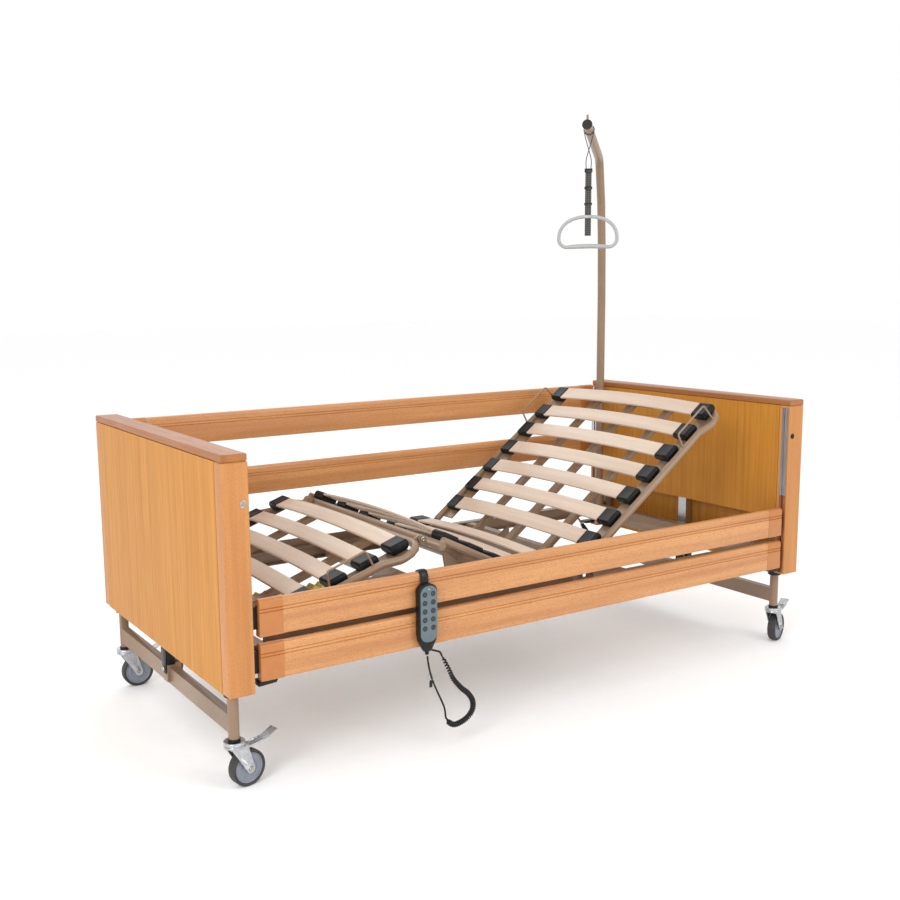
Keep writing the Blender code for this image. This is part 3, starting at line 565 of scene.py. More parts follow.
# ---- the handset's cord: a lead, a curly stretch and a lead ----
LEAD_IN_ROUTE = [(-0.478, -0.455, 0.3213), (-0.478, -0.4565, 0.306), (-0.474, -0.474, 0.285),
                 (-0.467, -0.500, 0.2795), (-0.459, -0.5275, 0.2795), (-0.4548, -0.5347, 0.2677)]
CURL_ROUTE = [(-0.4540, -0.5350, 0.2660), (-0.437, -0.540, 0.229), (-0.421, -0.540, 0.196),
              (-0.395, -0.540, 0.164), (-0.370, -0.540, 0.141), (-0.354, -0.540, 0.116),
              (-0.354, -0.540, 0.090), (-0.369, -0.540, 0.071), (-0.393, -0.540, 0.060),
              (-0.417, -0.540, 0.057), (-0.434, -0.540, 0.066), (-0.4430, -0.5400, 0.0790)]
HANDSET_LEAD_ROUTE = [(-0.4436, -0.5400, 0.0800), (-0.4474, -0.5400, 0.0862), (-0.452, -0.540, 0.116),
                      (-0.469, -0.539, 0.156), (-0.484, -0.538, 0.190), (-0.495, -0.537, 0.222),
                      (-0.502, -0.536, 0.255), (-0.504, -0.5345, 0.2778)]


def line_length(line):
    return sum((b - a).length for a, b in zip(line, line[1:]))


def coiled(route, radius, open_pitch, close_pitch, per_turn=14):
    """A coil wound round the route, open at its start and closed further on; its ends run onto the route."""
    end_taper = 0.014
    line = smooth(route, 16)
    total = line_length(line)
    side = Vector((0, 1, 0))
    points, phase = [], 0.0
    travelled = next_at = 0.0
    for a, b in zip(line, line[1:]):
        long = (b - a).length
        way = (b - a).normalized()
        side = (side - way * side.dot(way)).normalized()
        other = way.cross(side)
        while next_at <= travelled + long:
            share = next_at / total
            closed = min(1.0, share / 0.45)
            pitch = open_pitch + (close_pitch - open_pitch) * closed
            taper = max(0.0, min(1.0, next_at / end_taper, (total - next_at) / end_taper))
            reach = radius * (0.56 + 0.44 * closed) * taper ** 2 * (3 - 2 * taper)
            spot = a + way * (next_at - travelled)
            points.append(spot + (side * math.cos(phase) + other * math.sin(phase)) * reach)
            phase += 2 * math.pi / per_turn
            next_at += pitch / per_turn
        travelled += long
    return points


def make_cord():
    lines = {
        "cord_lead_in": smooth(LEAD_IN_ROUTE, 6),
        "curly_cord": coiled(CURL_ROUTE, CURL_RADIUS - LEAD_RADIUS, 0.0105, 0.0060),
        "handset_lead": smooth(HANDSET_LEAD_ROUTE, 6),
    }
    made = {}
    for name, line in lines.items():
        piece = pipe(line, LEAD_RADIUS, 3)
        finish(piece, name + "_sheath", "cable", None, BED, 60.0, (name,))
        made[name] = piece
    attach(made["cord_lead_in"], "bed")
    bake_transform(made["curly_cord"])
    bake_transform(made["handset_lead"])


make_cord()


# ---- boards ----
def paint_solid(name, look):
    """The node is shown by its own solid, in the given look."""
    mesh = frame["nodes"][name].data
    mesh.materials.clear()
    mesh.materials.append(LOOKS[look])


def make_boards():
    """Boards, posts and tracks keep their own solids; the lift columns, buttons and bushes are made."""
    for end, way in ENDS.items():
        # the cap look's darker colour is painted shade on the boards' upward faces
        paint_solid(f"{end}_cap_board", "cap")
        paint_solid(f"{end}_panel", "panel")
        rounded_copy(f"{end}_lift_motor", "aluminium")
        for side, hand in SIDES.items():
            paint_solid(f"{end}_{side}_post", "post")
            paint_solid(f"{end}_{side}_rail_track", "track")
            make_catch_button(end, side, way, hand)
            make_leg_collar(end, side, way, hand)


def make_catch_button(end, side, way, hand):
    """The release button of the rail catch: a turned ring with a plunger, in the post's outer face."""
    x, z = way * (HALF_LENGTH - 0.055), 0.773
    face = hand * HALF_WIDTH
    ring = bar((x, face - hand * 0.004, z), (x, face + hand * 0.0011, z), 0.0095, 32, 0.0006)
    edit(ring)
    middle = Vector((x, face, z))
    pick(ring, lambda centre, normal: normal.y * hand > 0.9 and (centre - middle).length < 0.004)
    inset(0.0026, -0.0008)
    inset(0.0012, 0.0)
    inset(0.0008, 0.0012)
    leave(ring)
    finish(ring, f"{end}_{side}_catch_button", "bolt" if end == "foot" else "black", "bed")


def make_leg_collar(end, side, way, hand):
    """The black guide bush under the post, round the leg."""
    x, y = way * LEG_X, hand * LEG_Y
    bush = collar((x, y, 0.2565), (x, y, 0.2700), 0.0235, 40, 0.0076, 0.0014, use_even_offset=True)
    finish(bush, f"{end}_{side}_leg_bush", "black", "bed")


# ---- side rails ----
def rail_profile(x0, x1, side, level, grow=0.0):
    """A length of rail with two fine grooves below its top; grow makes it thicker all round."""
    low = RAIL_LOW[side][level]
    y = SIDES[side] * RAIL_Y
    half = RAIL_THICK / 2 + grow
    obj = block((x0, y - half, low - grow), (x1, y + half, low + RAIL_HEIGHT + grow))
    middle = low + RAIL_HEIGHT / 2
    edit(obj)
    for groove in (0.0152, 0.0238):
        for height in (groove - 0.0022, groove, groove + 0.0016):
            slice_at((0, 0, middle + height), (0, 0, 1))
        pick_points(obj, lambda p: abs(p.z - middle - groove) < 0.0003)
        scale_about((1, 0.77, 1), (0, y, middle))
    return leave(obj)


def make_rail(side, level):
    node_name = f"{side}_{level}_side_rail"
    body = f"{side}_{level}_rail"
    piece_end = RAIL_HALF_LENGTH - 0.062
    middle = RAIL_LOW[side][level] + RAIL_HEIGHT / 2
    rail = rail_profile(-piece_end, piece_end, side, level)
    round_top(rail, 0.0098)
    finish(rail, node_name + "_beech", "rail_foil", body, stands_for=(node_name,))
    for end, way in ENDS.items():
        x0, x1 = sorted((way * (piece_end - 0.004), way * RAIL_HALF_LENGTH))
        piece = rail_profile(x0, x1, side, level, 0.0009)
        round_top(piece, 0.0102)
        round_end(piece, way)
        finish(piece, f"{node_name}_{end}_end_piece", "rail_end", body)
        tongue_y = SIDES[side] * SLOT_Y
        t0, t1 = sorted((way * (RAIL_HALF_LENGTH - 0.006), way * (RAIL_HALF_LENGTH + 0.0252)))
        glider = block((t0, tongue_y - 0.0028, middle - 0.030),
                       (t1, tongue_y + 0.0028, middle + 0.030), 0.0012)
        edit(glider)
        pick(glider, lambda centre, normal: abs(normal.y) > 0.95)
        inset(0.0014, -0.0004, True)
        leave(glider)
        finish(glider, f"{node_name}_{end}_glider", "black", body)


def mark_edges(obj, test, width, segments):
    """Rounds the edges whose two ends both pass the test."""
    edit(obj)
    bpy.ops.mesh.select_mode(type="EDGE")
    shape = bmesh.from_edit_mesh(obj.data)
    for line in shape.edges:
        line.select_set(bool(test(line.verts[0].co, line.verts[1].co)))
    bmesh.update_edit_mesh(obj.data)
    bpy.ops.mesh.bevel(offset=width, segments=segments, affect="EDGES", profile=0.5, clamp_overlap=True)
    return leave(obj)


def round_top(obj, radius):
    top = max(v.co.z for v in obj.data.vertices) - 0.0002
    mark_edges(obj, lambda a, b: a.z > top and b.z > top and abs(a.x - b.x) > 0.01, radius, 5)
    low = min(v.co.z for v in obj.data.vertices) + 0.0002
    mark_edges(obj, lambda a, b: a.z < low and b.z < low and abs(a.x - b.x) > 0.01, 0.003, 3)


def round_end(obj, way):
    tip = max(v.co.x * way for v in obj.data.vertices) - 0.0002
    mark_edges(obj, lambda a, b: a.x * way > tip and b.x * way > tip, 0.0045, 4)


# ---- slats ----
def model_slat():
    """A bowed slat: the middle length is extruded outwards step by step along the bow."""
    reach_in_caps, rise, half_length = 0.368, 0.016, 0.400
    stations = [reach_in_caps * i / 8 for i in range(9)]
    heights = [rise * (1 - (y / half_length) ** 2) for y in stations]
    slat = block((-0.029, -stations[1], heights[1] - 0.004), (0.029, stations[1], heights[1] + 0.004))
    edit(slat)
    for hand in (-1, 1):
        reach = stations[1]
        for y, drop in zip(stations[2:], (b - a for a, b in zip(heights[1:], heights[2:]))):
            edge = reach - 0.0001
            pick(slat, lambda centre, normal: hand * centre.y > edge and hand * normal.y > 0.6)
            bpy.ops.mesh.extrude_region_move(TRANSFORM_OT_translate={"value": (0, hand * (y - reach), drop)})
            reach = y
    bpy.ops.mesh.select_all(action="SELECT")
    bpy.ops.mesh.normals_make_consistent(inside=False)
    leave(slat)
    mark_edges(slat, lambda a, b: abs(a.x - b.x) < 0.0001 and abs(a.y - b.y) > 0.02, 0.0022, 3)
    return slat


def model_slat_caps():
    """The two rubber caps of a slat: a sloped block with a sunk top, a lip over the slat and side ribs."""
    caps = []
    for hand in (-1, 1):
        cap = block((-0.031, 0.350, -0.0211), (0.031, 0.412, 0.0105))
        edit(cap)
        slice_at((0, 0, 0.0035), (0, 0, 1))
        slice_at((0, 0, -0.0085), (0, 0, 1))
        pick_points(cap, lambda p: p.z > 0.010)
        scale_about((0.86, 0.84, 1), (0, 0.381, 0))
        pick_points(cap, lambda p: p.z < -0.020)
        scale_about((0.80, 0.84, 1), (0, 0.381, 0))
        pick(cap, lambda centre, normal: normal.z > 0.95)
        inset(0.0045, -0.0008)
        pick(cap, lambda centre, normal: abs(normal.x) > 0.9 and -0.0085 < centre.z < 0.0035)
        inset(0.0030, -0.0010, True)
        leave(cap)
        soften(cap, 0.0022, 3, 25.0)
        if hand < 0:
            cap.matrix_world = Matrix.Rotation(math.pi, 4, "Z")
            apply_place(cap)
        caps.append(cap)
    return joined(*caps)


def make_slats():
    slat, caps = model_slat(), model_slat_caps()
    for section, places in SLAT_PLACES.items():
        for number, along in enumerate(places, 1):
            name = f"{section}_slat_{number}"
            at = SECTIONS[section] @ Matrix.Translation((along, 0, SLAT_LIFT))
            finish(copied(slat), name + "_birch", "slat", SLAT_BODY[section], at, 30.0, (name,))
            finish(copied(caps), name + "_caps", "cap_rubber", SLAT_BODY[section], at, 40.0)
    for model in (slat, caps):
        bpy.data.objects.remove(model)


# ---- frames ----
def bent(corners, radius=0.012, steps=4):
    """An open path with its inner corners turned on arcs."""
    corners = [Vector(c) for c in corners]
    path = [corners[0]]
    for before, corner, after in zip(corners, corners[1:], corners[2:]):
        into, out = (before - corner).normalized(), (after - corner).normalized()
        half = into.angle(out) / 2
        centre = corner + (into + out).normalized() * (radius / math.sin(half))
        first = (corner + into * (radius / math.tan(half)) - centre).normalized()
        last = (corner + out * (radius / math.tan(half)) - centre).normalized()
        path += [centre + first.slerp(last, i / steps) * radius for i in range(steps + 1)]
    return path + [corners[-1]]


def make_retainers():
    """Bent wire hoops at the sections' sides that keep the mattress in place."""
    for section, start, end, far_foot in (("back", 0.558, 0.716, 0.008), ("calf", 0.203, 0.342, 0.026)):
        for side, hand in SIDES.items():
            y = hand * SECTION_Y
            hoop = pipe(bent([(start - 0.002, y, 0.026), (start + 0.006, y, 0.078), (end - 0.004, y, 0.078),
                              (end + 0.004, y, far_foot)], 0.010), 0.0032, 4)
            name = f"{section}_{side}_mattress_hoop"
            finish(hoop, name, "steel", section, SECTIONS[section], 60.0)


def bolt_head(place, way, radius, height):
    """A domed bolt head with a turned recess."""
    place, way = Vector(place), Vector(way).normalized()
    head = bar(place, place + way * height, radius, 24, height * 0.35, top=radius * 0.86)
    edit(head)
    top = place + way * height
    pick(head, lambda centre, normal: normal.dot(way) > 0.95 and (centre - top).length < radius / 3)
    inset(radius * 0.30, -height * 0.25)
    return leave(head)


def make_frame_bolts():
    """Pivot bolts at the hinges and at the knee."""
    for side, hand in SIDES.items():
        knee = bolt_head((THIGH_LENGTH, -hand * 0.3712, 0), (0, -hand, 0), 0.0085, 0.006)
        finish(knee, f"knee_{side}_bolt", "bolt", "thigh", SECTIONS["thigh"])
        for title, x in (("back", BACK_HINGE_X), ("thigh", THIGH_HINGE_X)):
            head = bolt_head((x, hand * 0.4537, HINGE_Z), (0, hand, 0), 0.0080, 0.0045)
            finish(head, f"{title}_hinge_{side}_bolt", "bolt", "bed")


def make_ratchet():
    """The toothed guide of the calf section on its own member, in yellow chromated zinc."""
    beam = block((-0.9592, -0.0900, 0.3600), (-0.3158, -0.0450, 0.3830), 0.002)
    finish(beam, "calf_guide_beam", "steel", "bed")
    rack = block((-0.9550, -0.0880, 0.3832), (-0.5800, -0.0480, 0.4000))
    edit(rack)
    for i in range(1, 25):
        slice_at((-0.9550 + 0.015 * i, 0, 0), (1, 0, 0))
    pick_points(rack, lambda p: p.z > 0.399 and round((p.x + 0.9550) / 0.015) % 2 == 1)
    shift((0.004, 0, -0.010))
    leave(rack)
    soften(rack, 0.0008, 1, 20.0)
    finish(rack, "calf_ratchet", "yellow_zinc", "bed")


def make_lever_knob():
    """The small black knob of the hand release under the back section."""
    stem = bar((0.205, -0.181, -0.060), (0.205, -0.181, -0.0095), 0.0035, 16, 0.0006)
    finish(stem, "back_release_stem", "steel", "back", SECTIONS["back"])
    knob = bar((0.205, -0.181, -0.092), (0.205, -0.181, -0.056), 0.0085, 28, 0.003, top=0.0065)
    finish(knob, "back_release_knob", "black", "back", SECTIONS["back"])


def make_lift_brackets():
    """The clevis where each lift drive stands on its crossbar, with bolts, and the inner beam and trim."""
    for end, way in ENDS.items():
        x = way * LEG_X
        cheeks = []
        for hand in (-1, 1):
            middle = x + hand * 0.0245
            cheek = block((middle - 0.0018, -0.022, 0.188), (middle + 0.0018, 0.022, 0.262))
            edit(cheek)
            pick_points(cheek, lambda p: p.z < 0.189)
            scale_about((1, 0.64, 1), (x, 0, 0.188))
            leave(cheek)
            soften(cheek, 0.0015, 2)
            cheeks.append(cheek)
        x0, x1 = sorted((x + way * 0.0225, x - way * 0.0020))
        head = block((x0, -0.0205, 0.2150), (x1, 0.0205, 0.2620), 0.0020)
        finish(joined(*cheeks, head), f"{end}_lift_clevis", "black", f"{end}_chassis")
        for hand in (-1, 1):
            bolt = bolt_head((x + hand * 0.0262, 0.0, 0.201), (hand, 0, 0), 0.0090, 0.005)
            title = "outer" if hand == way else "inner"
            finish(bolt, f"{end}_clevis_{title}_bolt", "bolt", f"{end}_chassis")
        y0, y1 = -0.430, 0.430
        ledge = block((way * 1.0360 - 0.003, y0, 0.3000), (way * 1.0360 + 0.003, y1, 0.3660), 0.0012)
        finish(ledge, f"{end}_inner_beam", "steel", "bed")
        trim = block((way * 1.0355 - 0.006, y0, 0.3662), (way * 1.0355 + 0.006, y1, 0.3702), 0.0012)
        finish(trim, f"{end}_inner_beam_trim", "aluminium", "bed")


def make_rail_stops():
    """The black stop under the end of each rail track."""
    for end, way in ENDS.items():
        for side, hand in SIDES.items():
            x0, x1 = sorted((way * 1.0060, way * 0.9500))
            y0, y1 = sorted((hand * 0.4780, hand * 0.5140))
            stop = block((x0, y0, 0.2880), (x1, y1, 0.3005))
            edit(stop)
            pick_points(stop, lambda p: abs(p.x - way * 0.95) < 0.001 and p.z < 0.289)
            shift((way * 0.006, 0, 0.003))
            leave(stop)
            soften(stop, 0.0015, 2)
            finish(stop, f"{end}_{side}_rail_stop", "black", "bed")


def make_frames():
    for name in ("base_frame", "back_frame", "thigh_frame", "calf_frame", "foot_leg_frame", "head_leg_frame",
                 "lifting_pole"):
        rounded_copy(name, "steel")


# ---- drive unit ----
def make_drive():
    """Two drives in one housing: a shell with sunk panels, a pod below, two hangers and the screws."""
    shell = block((-0.150, -0.045, 0.245), (0.245, 0.045, 0.325))
    edit(shell)
    for x in (-0.105, -0.020, 0.120, 0.200):
        slice_at((x, 0, 0), (1, 0, 0))
    pick(shell, lambda centre, normal: abs(normal.y) > 0.9 and (centre.x < -0.105 or centre.x > 0.200))
    inset(0.006, -0.003, True)
    pick(shell, lambda centre, normal: abs(normal.y) > 0.9 and -0.02 < centre.x < 0.120)
    inset(0.010, -0.002, True)
    leave(shell)
    soften(shell, 0.004, 3)
    pod = block((0.000, -0.043, 0.200), (0.110, 0.043, 0.250), 0.008, 4)
    hangers = [block((x - 0.0115, -0.030, 0.315), (x + 0.0115, 0.030, 0.3790), 0.002)
               for x in (-0.0425, 0.130)]
    finish(joined(shell, pod, *hangers), "drive_unit_shell", "housing", "bed",
           stands_for=("drive_unit",))
    screws = [bolt_head((x, hand * 0.0448, z), (0, hand, 0), 0.0042, 0.0022)
              for x in (-0.135, 0.230) for z in (0.257, 0.313) for hand in (-1, 1)]
    finish(joined(*screws), "drive_unit_screws", "bolt", "bed")


# ---- castors ----
def castor_place(end, side):
    return BED @ Matrix.Translation((ENDS[end] * LEG_X, SIDES[side] * LEG_Y, 0)) @ Matrix.Rotation(
        math.radians(CASTOR_HEADING[f"{end}_{side}"]), 4, "Z")


def model_tyre():
    """The tyre: a ring with a rounded tread."""
    tyre = bar((0.036, -0.0150, 0.050), (0.036, 0.0150, 0.050), 0.0500, 56)
    edit(tyre)
    pick(tyre, lambda centre, normal: abs(normal.y) > 0.9)
    inset(0.0085, 0.0, True)
    bpy.ops.mesh.delete(type="FACE")
    bpy.ops.mesh.select_mode(type="EDGE")
    bpy.ops.mesh.select_non_manifold()
    bpy.ops.mesh.bridge_edge_loops()
    bpy.ops.mesh.select_all(action="SELECT")
    bpy.ops.mesh.normals_make_consistent(inside=False)
    leave(tyre)
    return soften(tyre, 0.0045, 3, 60.0)


def model_disc():
    """The wheel's disc with its rings and hub."""
    disc = bar((0.036, -0.0120, 0.050), (0.036, 0.0120, 0.050), 0.0414, 56)
    edit(disc)
    pick(disc, lambda centre, normal: abs(normal.y) > 0.9)
    for thick, depth in ((0.0030, 0.0), (0.0010, -0.0030), (0.0080, 0.0), (0.0015, 0.0020), (0.0030, 0.0),
                         (0.0015, -0.0020), (0.0090, 0.0), (0.0020, 0.0040), (0.0030, 0.0)):
        inset(thick, depth, True)
    leave(disc)
    return soften(disc, 0.0004, 1, 30.0)


def model_swivel_head():
    """The swivel head: a lower plate, and an upper plate with a raised middle."""
    lower = bar((0, 0, 0.1170), (0, 0, 0.1225), 0.0285, 48, 0.0015)
    upper = bar((0, 0, 0.1235), (0, 0, 0.1320), 0.0290, 48)
    edit(upper)
    pick(upper, lambda centre, normal: normal.z > 0.9)
    inset(0.0050, 0.0)
    shift((0, 0, 0.0012))
    leave(upper)
    soften(upper, 0.0018, 3, 30.0)
    return joined(lower, upper)


def make_castors():
    tyre, disc, head = model_tyre(), model_disc(), model_swivel_head()
    for end in ENDS:
        for side in SIDES:
            name = f"{end}_{side}_castor"
            at = castor_place(end, side)
            wheel = name + "_wheel"
            finish(copied(tyre), name + "_tyre", "tyre", wheel, at, 40.0, (wheel,))
            finish(copied(disc), name + "_disc", "disc", wheel, at, 25.0)
            finish(copied(head), name + "_swivel_head", "zinc", name, at, 30.0)
            rounded_copy(name + "_fork", "zinc")
            rounded_copy(name + "_brake_pedal", "zinc", 20.0)
            ribs = [block((x, -0.0125, z), (x + 0.0035, 0.0125, z + 0.0022), 0.0007)
                    for x, z in ((0.070, 0.1141), (0.080, 0.1163), (0.090, 0.1187))]
            for hand in (-1, 1):
                y0, y1 = sorted((hand * 0.0128, hand * 0.0150))
                flange = block((0.034, y0, 0.1072), (0.084, y1, 0.1122))
                edit(flange)
                pick_points(flange, lambda p: p.x > 0.083)
                shift((0, 0, 0.0060))
                leave(flange)
                ribs.append(soften(flange, 0.0006, 1))
            finish(joined(*ribs), name + "_pedal_ribs", "zinc", name + "_pedal", at)
            nuts = [bolt_head((0.036, hand * 0.0202, 0.050), (0, hand, 0), 0.0078, 0.0052)
                    for hand in (-1, 1)]
            finish(joined(*nuts), name + "_axle_nuts", "bolt", name, at)
            spot = at.inverted() @ (MIDDLE + Vector((ENDS[end] * LEG_X, SIDES[side] * LEG_Y, 0)))
            sleeve = bar((spot.x, spot.y, 0.1345), (spot.x, spot.y, 0.1405), 0.0172, 32, 0.0015)
            finish(sleeve, name + "_stem_sleeve", "black", f"{end}_chassis", at)
    for model in (tyre, disc, head):
        bpy.data.objects.remove(model)


# ---- lifting pole and trapeze ----
def make_pole_fittings():
    tip_cap = bar(ARM_TIP + ARM_WAY * 0.0005, ARM_TIP + ARM_WAY * 0.0030, 0.0163, 36)
    finish(tip_cap, "arm_end_plug", "black", "pole")
    ring = pipe([ARM_TIP - ARM_WAY * 0.004 + Matrix.Rotation(math.tau * i / 32, 3, ARM_WAY) @ (
        ARM_WAY.orthogonal().normalized() * 0.0168) for i in range(32)], 0.0016, 3, True)
    finish(ring, "arm_end_ring", "black", "pole", angle=60.0)
    low, high = (POLE_FOOT + Vector((0, 0, z)) for z in (0.4705, 0.4800))
    finish(collar(low, high, 0.0215, 36, 0.0046, 0.0012), "pole_socket_bush", "black", "bed")


def make_trapeze():
    """A cord loop round the arm, doubled webbing with three slides, and the grip."""
    turn = Matrix.Rotation(ARM_HEADING, 4, "Z")
    hang = Matrix.Translation(HANG)
    here = BED @ hang @ turn
    tilt = math.asin(ARM_WAY.z)
    leaning = Matrix.Rotation(-tilt, 3, "Y")
    angles = [math.tau * i / 40 for i in range(40)]
    ring = [leaning @ Vector((0, 0.0185 * math.sin(t), 0.0185 * math.cos(t))) for t in angles]
    loop = pipe(ring, 0.0016, 3, True)
    legs = [pipe(smooth([(0, hand * 0.017, -0.008), (0, hand * 0.012, -0.030), (0, hand * 0.001, -0.068),
                         (0, -hand * 0.009, -0.105), (0, -hand * 0.0085, -0.140)], 6), 0.0015, 3)
            for hand in (-1, 1)]
    finish(joined(loop, *legs), "strap_cord_loop", "cable", "trapeze", here, 60.0)
    grip_top = GRIP_TOP - HANG.z
    web = block((-0.0012, -0.0112, grip_top - 0.075), (0.0012, 0.0112, -0.140))
    edit(web)
    for i in range(1, 12):
        slice_at((0, 0, -0.140 + (grip_top + 0.065) * i / 12), (0, 0, 1))
    leave(web)
    apply_modifier(web, "BEVEL", width=0.0006, segments=2, limit_method="ANGLE", angle_limit=math.radians(40))
    back = block((0.0015, -0.0112, grip_top - 0.004), (0.0035, 0.0112, -0.215), 0.0006)
    finish(joined(web, back), "trapeze_webbing", "webbing", "trapeze", here,
           stands_for=("trapeze_strap",))
    buckles = []
    for z, tall in ((-0.143, 0.014), (-0.205, 0.010), (-0.262, 0.009)):
        buckle = block((-0.0032, -0.0140, z - tall / 2), (0.0050, 0.0140, z + tall / 2))
        edit(buckle)
        pick(buckle, lambda centre, normal: abs(normal.x) > 0.9)
        inset(0.0022, -0.0008, True)
        leave(buckle)
        buckles.append(soften(buckle, 0.0010, 2, 30.0))
    finish(joined(*buckles), "strap_slides", "black", "trapeze", here)
    make_grip(here, grip_top)


def make_grip(here, grip_top):
    """The grip: a moulded ring with a wide arch, a swollen hand bar and a slot bridge for the webbing."""
    half, height, corner = 0.1065, 0.1090, 0.030
    bottom = grip_top - height - 0.0065

    def corner_turn(hand, start, end):
        angles = [math.radians(start + (end - start) * i / 10) for i in range(11)]
        middle = hand * (half - corner)
        return [(middle + corner * math.cos(t), corner + corner * math.sin(t)) for t in angles]

    crown = [math.radians(6 + 168 * i / 40) for i in range(41)]
    arch = [(half * math.copysign(abs(math.cos(t)) ** 0.85, math.cos(t)),
             corner + (height - corner) * math.sin(t) ** 0.90) for t in crown]
    span = half - corner
    hand_bar = [(span * (i / 8 - 1), 0.0030 * (1 - (i / 8 - 1) ** 2)) for i in range(1, 16)]
    path = [Vector((0, u, bottom + v)) for u, v in
            [*corner_turn(-1, 185, 268), *hand_bar, *corner_turn(1, -88, -5), *arch]]
    ring = pipe(path, 0.0064, 6, True,
                lambda p: 1.0 + 0.30 * max(0.0, 1 - (p.y / span) ** 4) if p.z < bottom + 0.006 else 1.0)
    bridge = block((-0.0068, -0.0190, grip_top - 0.0128), (0.0078, 0.0190, grip_top - 0.0006), 0.0035, 3)
    finish(ring, "trapeze_grip_body", "grip", "trapeze", here, 60.0, stands_for=("trapeze_grip",))
    finish(bridge, "trapeze_grip_bridge", "grip", "trapeze", here, 40.0)


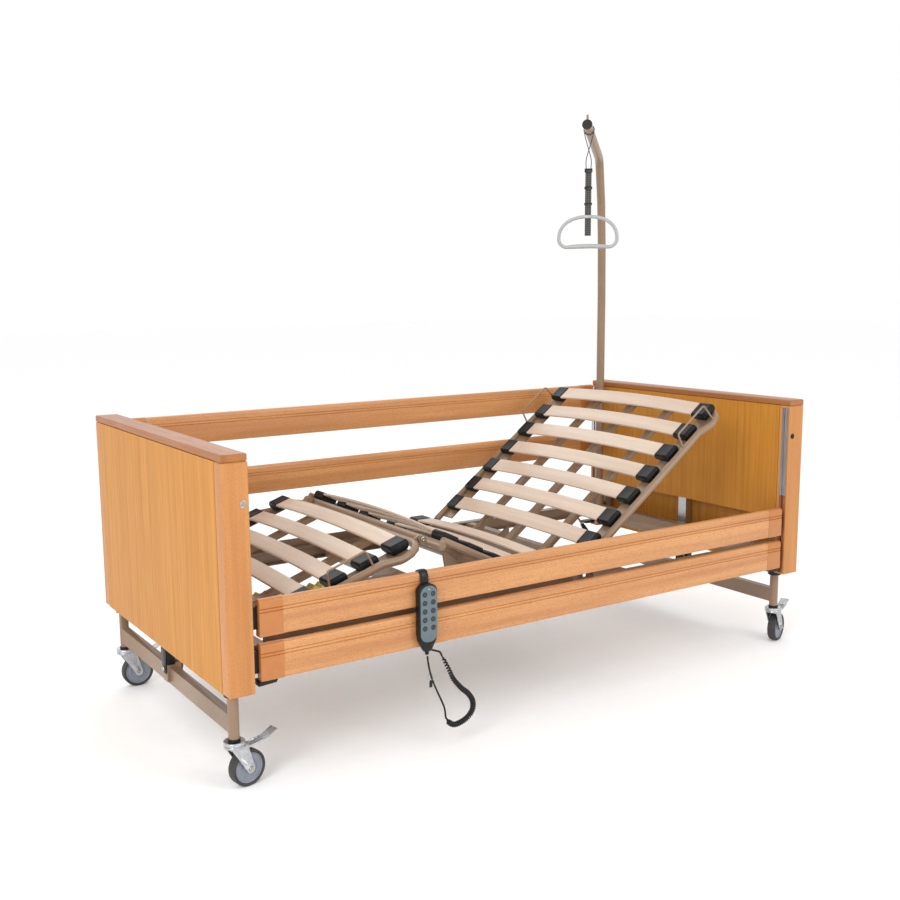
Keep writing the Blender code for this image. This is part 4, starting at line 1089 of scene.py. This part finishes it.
# ---- handset ----
def make_handset():
    """The body, its key field, keys, lamp, hook and strain relief, and the ring and tag on its lead."""
    back = RAIL_Y + RAIL_THICK / 2 + 0.0014
    low, high, front = 0.291, 0.487, back + 0.0254
    body = block((HANDSET_X - 0.0300, -front, low), (HANDSET_X + 0.0300, -back, high))
    edit(body)
    for z, wide, deep in ((0.345, 1.0, 1.0), (0.325, 0.90, 0.96), (0.305, 0.62, 0.80)):
        slice_at((0, 0, z), (0, 0, 1))
        pick_points(body, lambda p: abs(p.z - z) < 0.0005)
        scale_about((wide, deep, 1), (HANDSET_X, -(back + front) / 2, z))
    pick_points(body, lambda p: p.z < low + 0.0005)
    scale_about((0.36, 0.62, 1), (HANDSET_X, -(back + front) / 2, low))
    leave(body)
    mark_edges(body, lambda a, b: abs(a.y - b.y) > 0.015 and a.z > high - 0.001, 0.022, 8)
    soften(body, 0.0050, 4, 24.0)
    finish(body, "handset_body", "black", "handset", stands_for=("handset",))

    foil = block((HANDSET_X - 0.0270, -front - 0.0006, 0.3220), (HANDSET_X + 0.0270, -front + 0.0010, 0.4830))
    mark_edges(foil, lambda a, b: abs(a.y - b.y) > 0.001, 0.0230, 10)
    edit(foil)
    pick(foil, lambda centre, normal: normal.y < -0.9)
    inset(0.0010, 0.0004)
    leave(foil)
    finish(foil, "handset_foil", "foil", "handset", angle=30.0)

    keys, rims = [], []
    for row in range(5):
        for column in (-1, 1):
            x, z = HANDSET_X + column * 0.0136, 0.4600 - 0.02445 * row
            key = bar((x, -front - 0.0004, z), (x, -front - 0.0018, z), 0.0078, 32, 0.0005)
            edit(key)
            pick(key, lambda centre, normal: normal.y < -0.95)
            inset(0.0014, -0.0005)
            leave(key)
            keys.append(key)
            rims.append(block((x - 0.0028, -front - 0.0019, z - 0.0005),
                              (x + 0.0028, -front - 0.0012, z + 0.0005), 0.0003, 1))
    finish(joined(*keys), "handset_keys", "key", "handset", angle=30.0)
    finish(joined(*rims), "handset_key_marks", "foil", "handset")
    lamp = bar((HANDSET_X, -front - 0.0004, 0.4740), (HANDSET_X, -front - 0.0016, 0.4740), 0.0016,
               16, 0.0005)
    finish(lamp, "handset_lamp", "lens", "handset")

    crown = RAIL_LOW["left"]["upper"] + RAIL_HEIGHT
    hook = pipe(smooth([(0, -back - 0.004, high - 0.030), (0, -back - 0.0040, high - 0.004),
                        (0, -RAIL_Y - 0.0150, crown - 0.012), (0, -RAIL_Y - 0.0080, crown + 0.0010),
                        (0, -RAIL_Y, crown + 0.0032), (0, -RAIL_Y + 0.0080, crown + 0.0010),
                        (0, -RAIL_Y + 0.0140, crown - 0.010), (0, -RAIL_Y + 0.0142, crown - 0.034)], 5),
                0.0018, 3)
    apply_place(hook)
    edit(hook)
    bpy.ops.mesh.select_all(action="SELECT")
    scale_about((7.6, 1, 1), (0, 0, 0))
    shift((HANDSET_X, 0, 0))
    leave(hook)
    finish(hook, "handset_hook", "black", "handset", angle=60.0)

    axis_y = -(back + front) / 2
    relief = pipe([(HANDSET_X, axis_y, low + 0.004 - 0.0008 * i) for i in range(16)], 0.0056, 4)
    edit(relief)
    for ring in range(2, 14, 3):
        level = low + 0.004 - 0.0008 * ring
        pick_points(relief, lambda p: abs(p.z - level) < 0.0003)
        scale_about((0.72, 0.72, 1), (HANDSET_X, axis_y, level))
    leave(relief)
    finish(relief, "handset_strain_relief", "cable", "handset", angle=60.0)

    hoop_at = Vector((-0.4955, -0.5370, 0.2150))
    angles = [math.tau * i / 36 for i in range(36)]
    hoop = pipe([hoop_at + Vector((0.0085 * math.cos(t), 0.003 * math.sin(t), 0.0085 * math.sin(t)))
                 for t in angles], 0.0008, 2, True)
    finish(hoop, "lead_split_ring", "bolt", "left_upper_rail", angle=60.0)
    tag = block((-0.5030, -0.5430, 0.1870), (-0.4930, -0.5410, 0.2080), 0.0009)
    edit(tag)
    slice_at((0, 0, 0.2010), (0, 0, 1))
    pick_points(tag, lambda p: p.z > 0.205)
    scale_about((0.6, 1, 1), (-0.498, 0, 0))
    leave(tag)
    finish(tag, "lead_tag", "black", "left_upper_rail")


def make_studio():
    """A pale floor that runs to the horizon, a soft white surround and three large lamps."""
    bpy.ops.mesh.primitive_plane_add(size=60.0, location=(0, 0, 0))
    floor = bpy.context.object
    floor.name = "floor"
    made, tree, shader = new_material("matt_studio_floor", Roughness=0.9)
    grain = band(tree, pattern(tree, (40, 40, 40)), 0.3, 0.7)
    tree.links.new(mix(tree, grain, colour("FDFDFD"), colour("FFFFFF")), shader.inputs["Base Color"])
    floor.data.materials.append(made)
    world = bpy.data.worlds.new("studio")
    bpy.context.scene.world = world
    world.use_nodes = True
    world.node_tree.nodes["Background"].inputs["Color"].default_value = (1.0, 1.0, 1.0, 1.0)
    world.node_tree.nodes["Background"].inputs["Strength"].default_value = 1.0
    for name, place, size, power in (("key", (-4.2, -2.6, 3.0), 1.8, 95.0),
                                     ("front", (1.8, -4.6, 2.8), 1.8, 55.0),
                                     ("back", (0.5, 4.0, 3.8), 3.0, 40.0)):
        data = bpy.data.lights.new(name, "AREA")
        data.size = size
        data.energy = power
        lamp = bpy.data.objects.new(name, data)
        bpy.context.scene.collection.objects.link(lamp)
        lamp.location = Vector(place)
        lamp.rotation_euler = (Vector((0, 0, 0.5)) - Vector(place)).to_track_quat("-Z", "Y").to_euler()
    bpy.context.scene.view_settings.view_transform = "Standard"


make_boards()
for side_name in SIDES:
    for level_name in ("upper", "lower"):
        make_rail(side_name, level_name)
make_slats()
make_frames()
make_retainers()
make_frame_bolts()
make_ratchet()
make_lever_knob()
make_lift_brackets()
make_rail_stops()
make_drive()
make_castors()
make_pole_fittings()
make_trapeze()
make_handset()
make_studio()
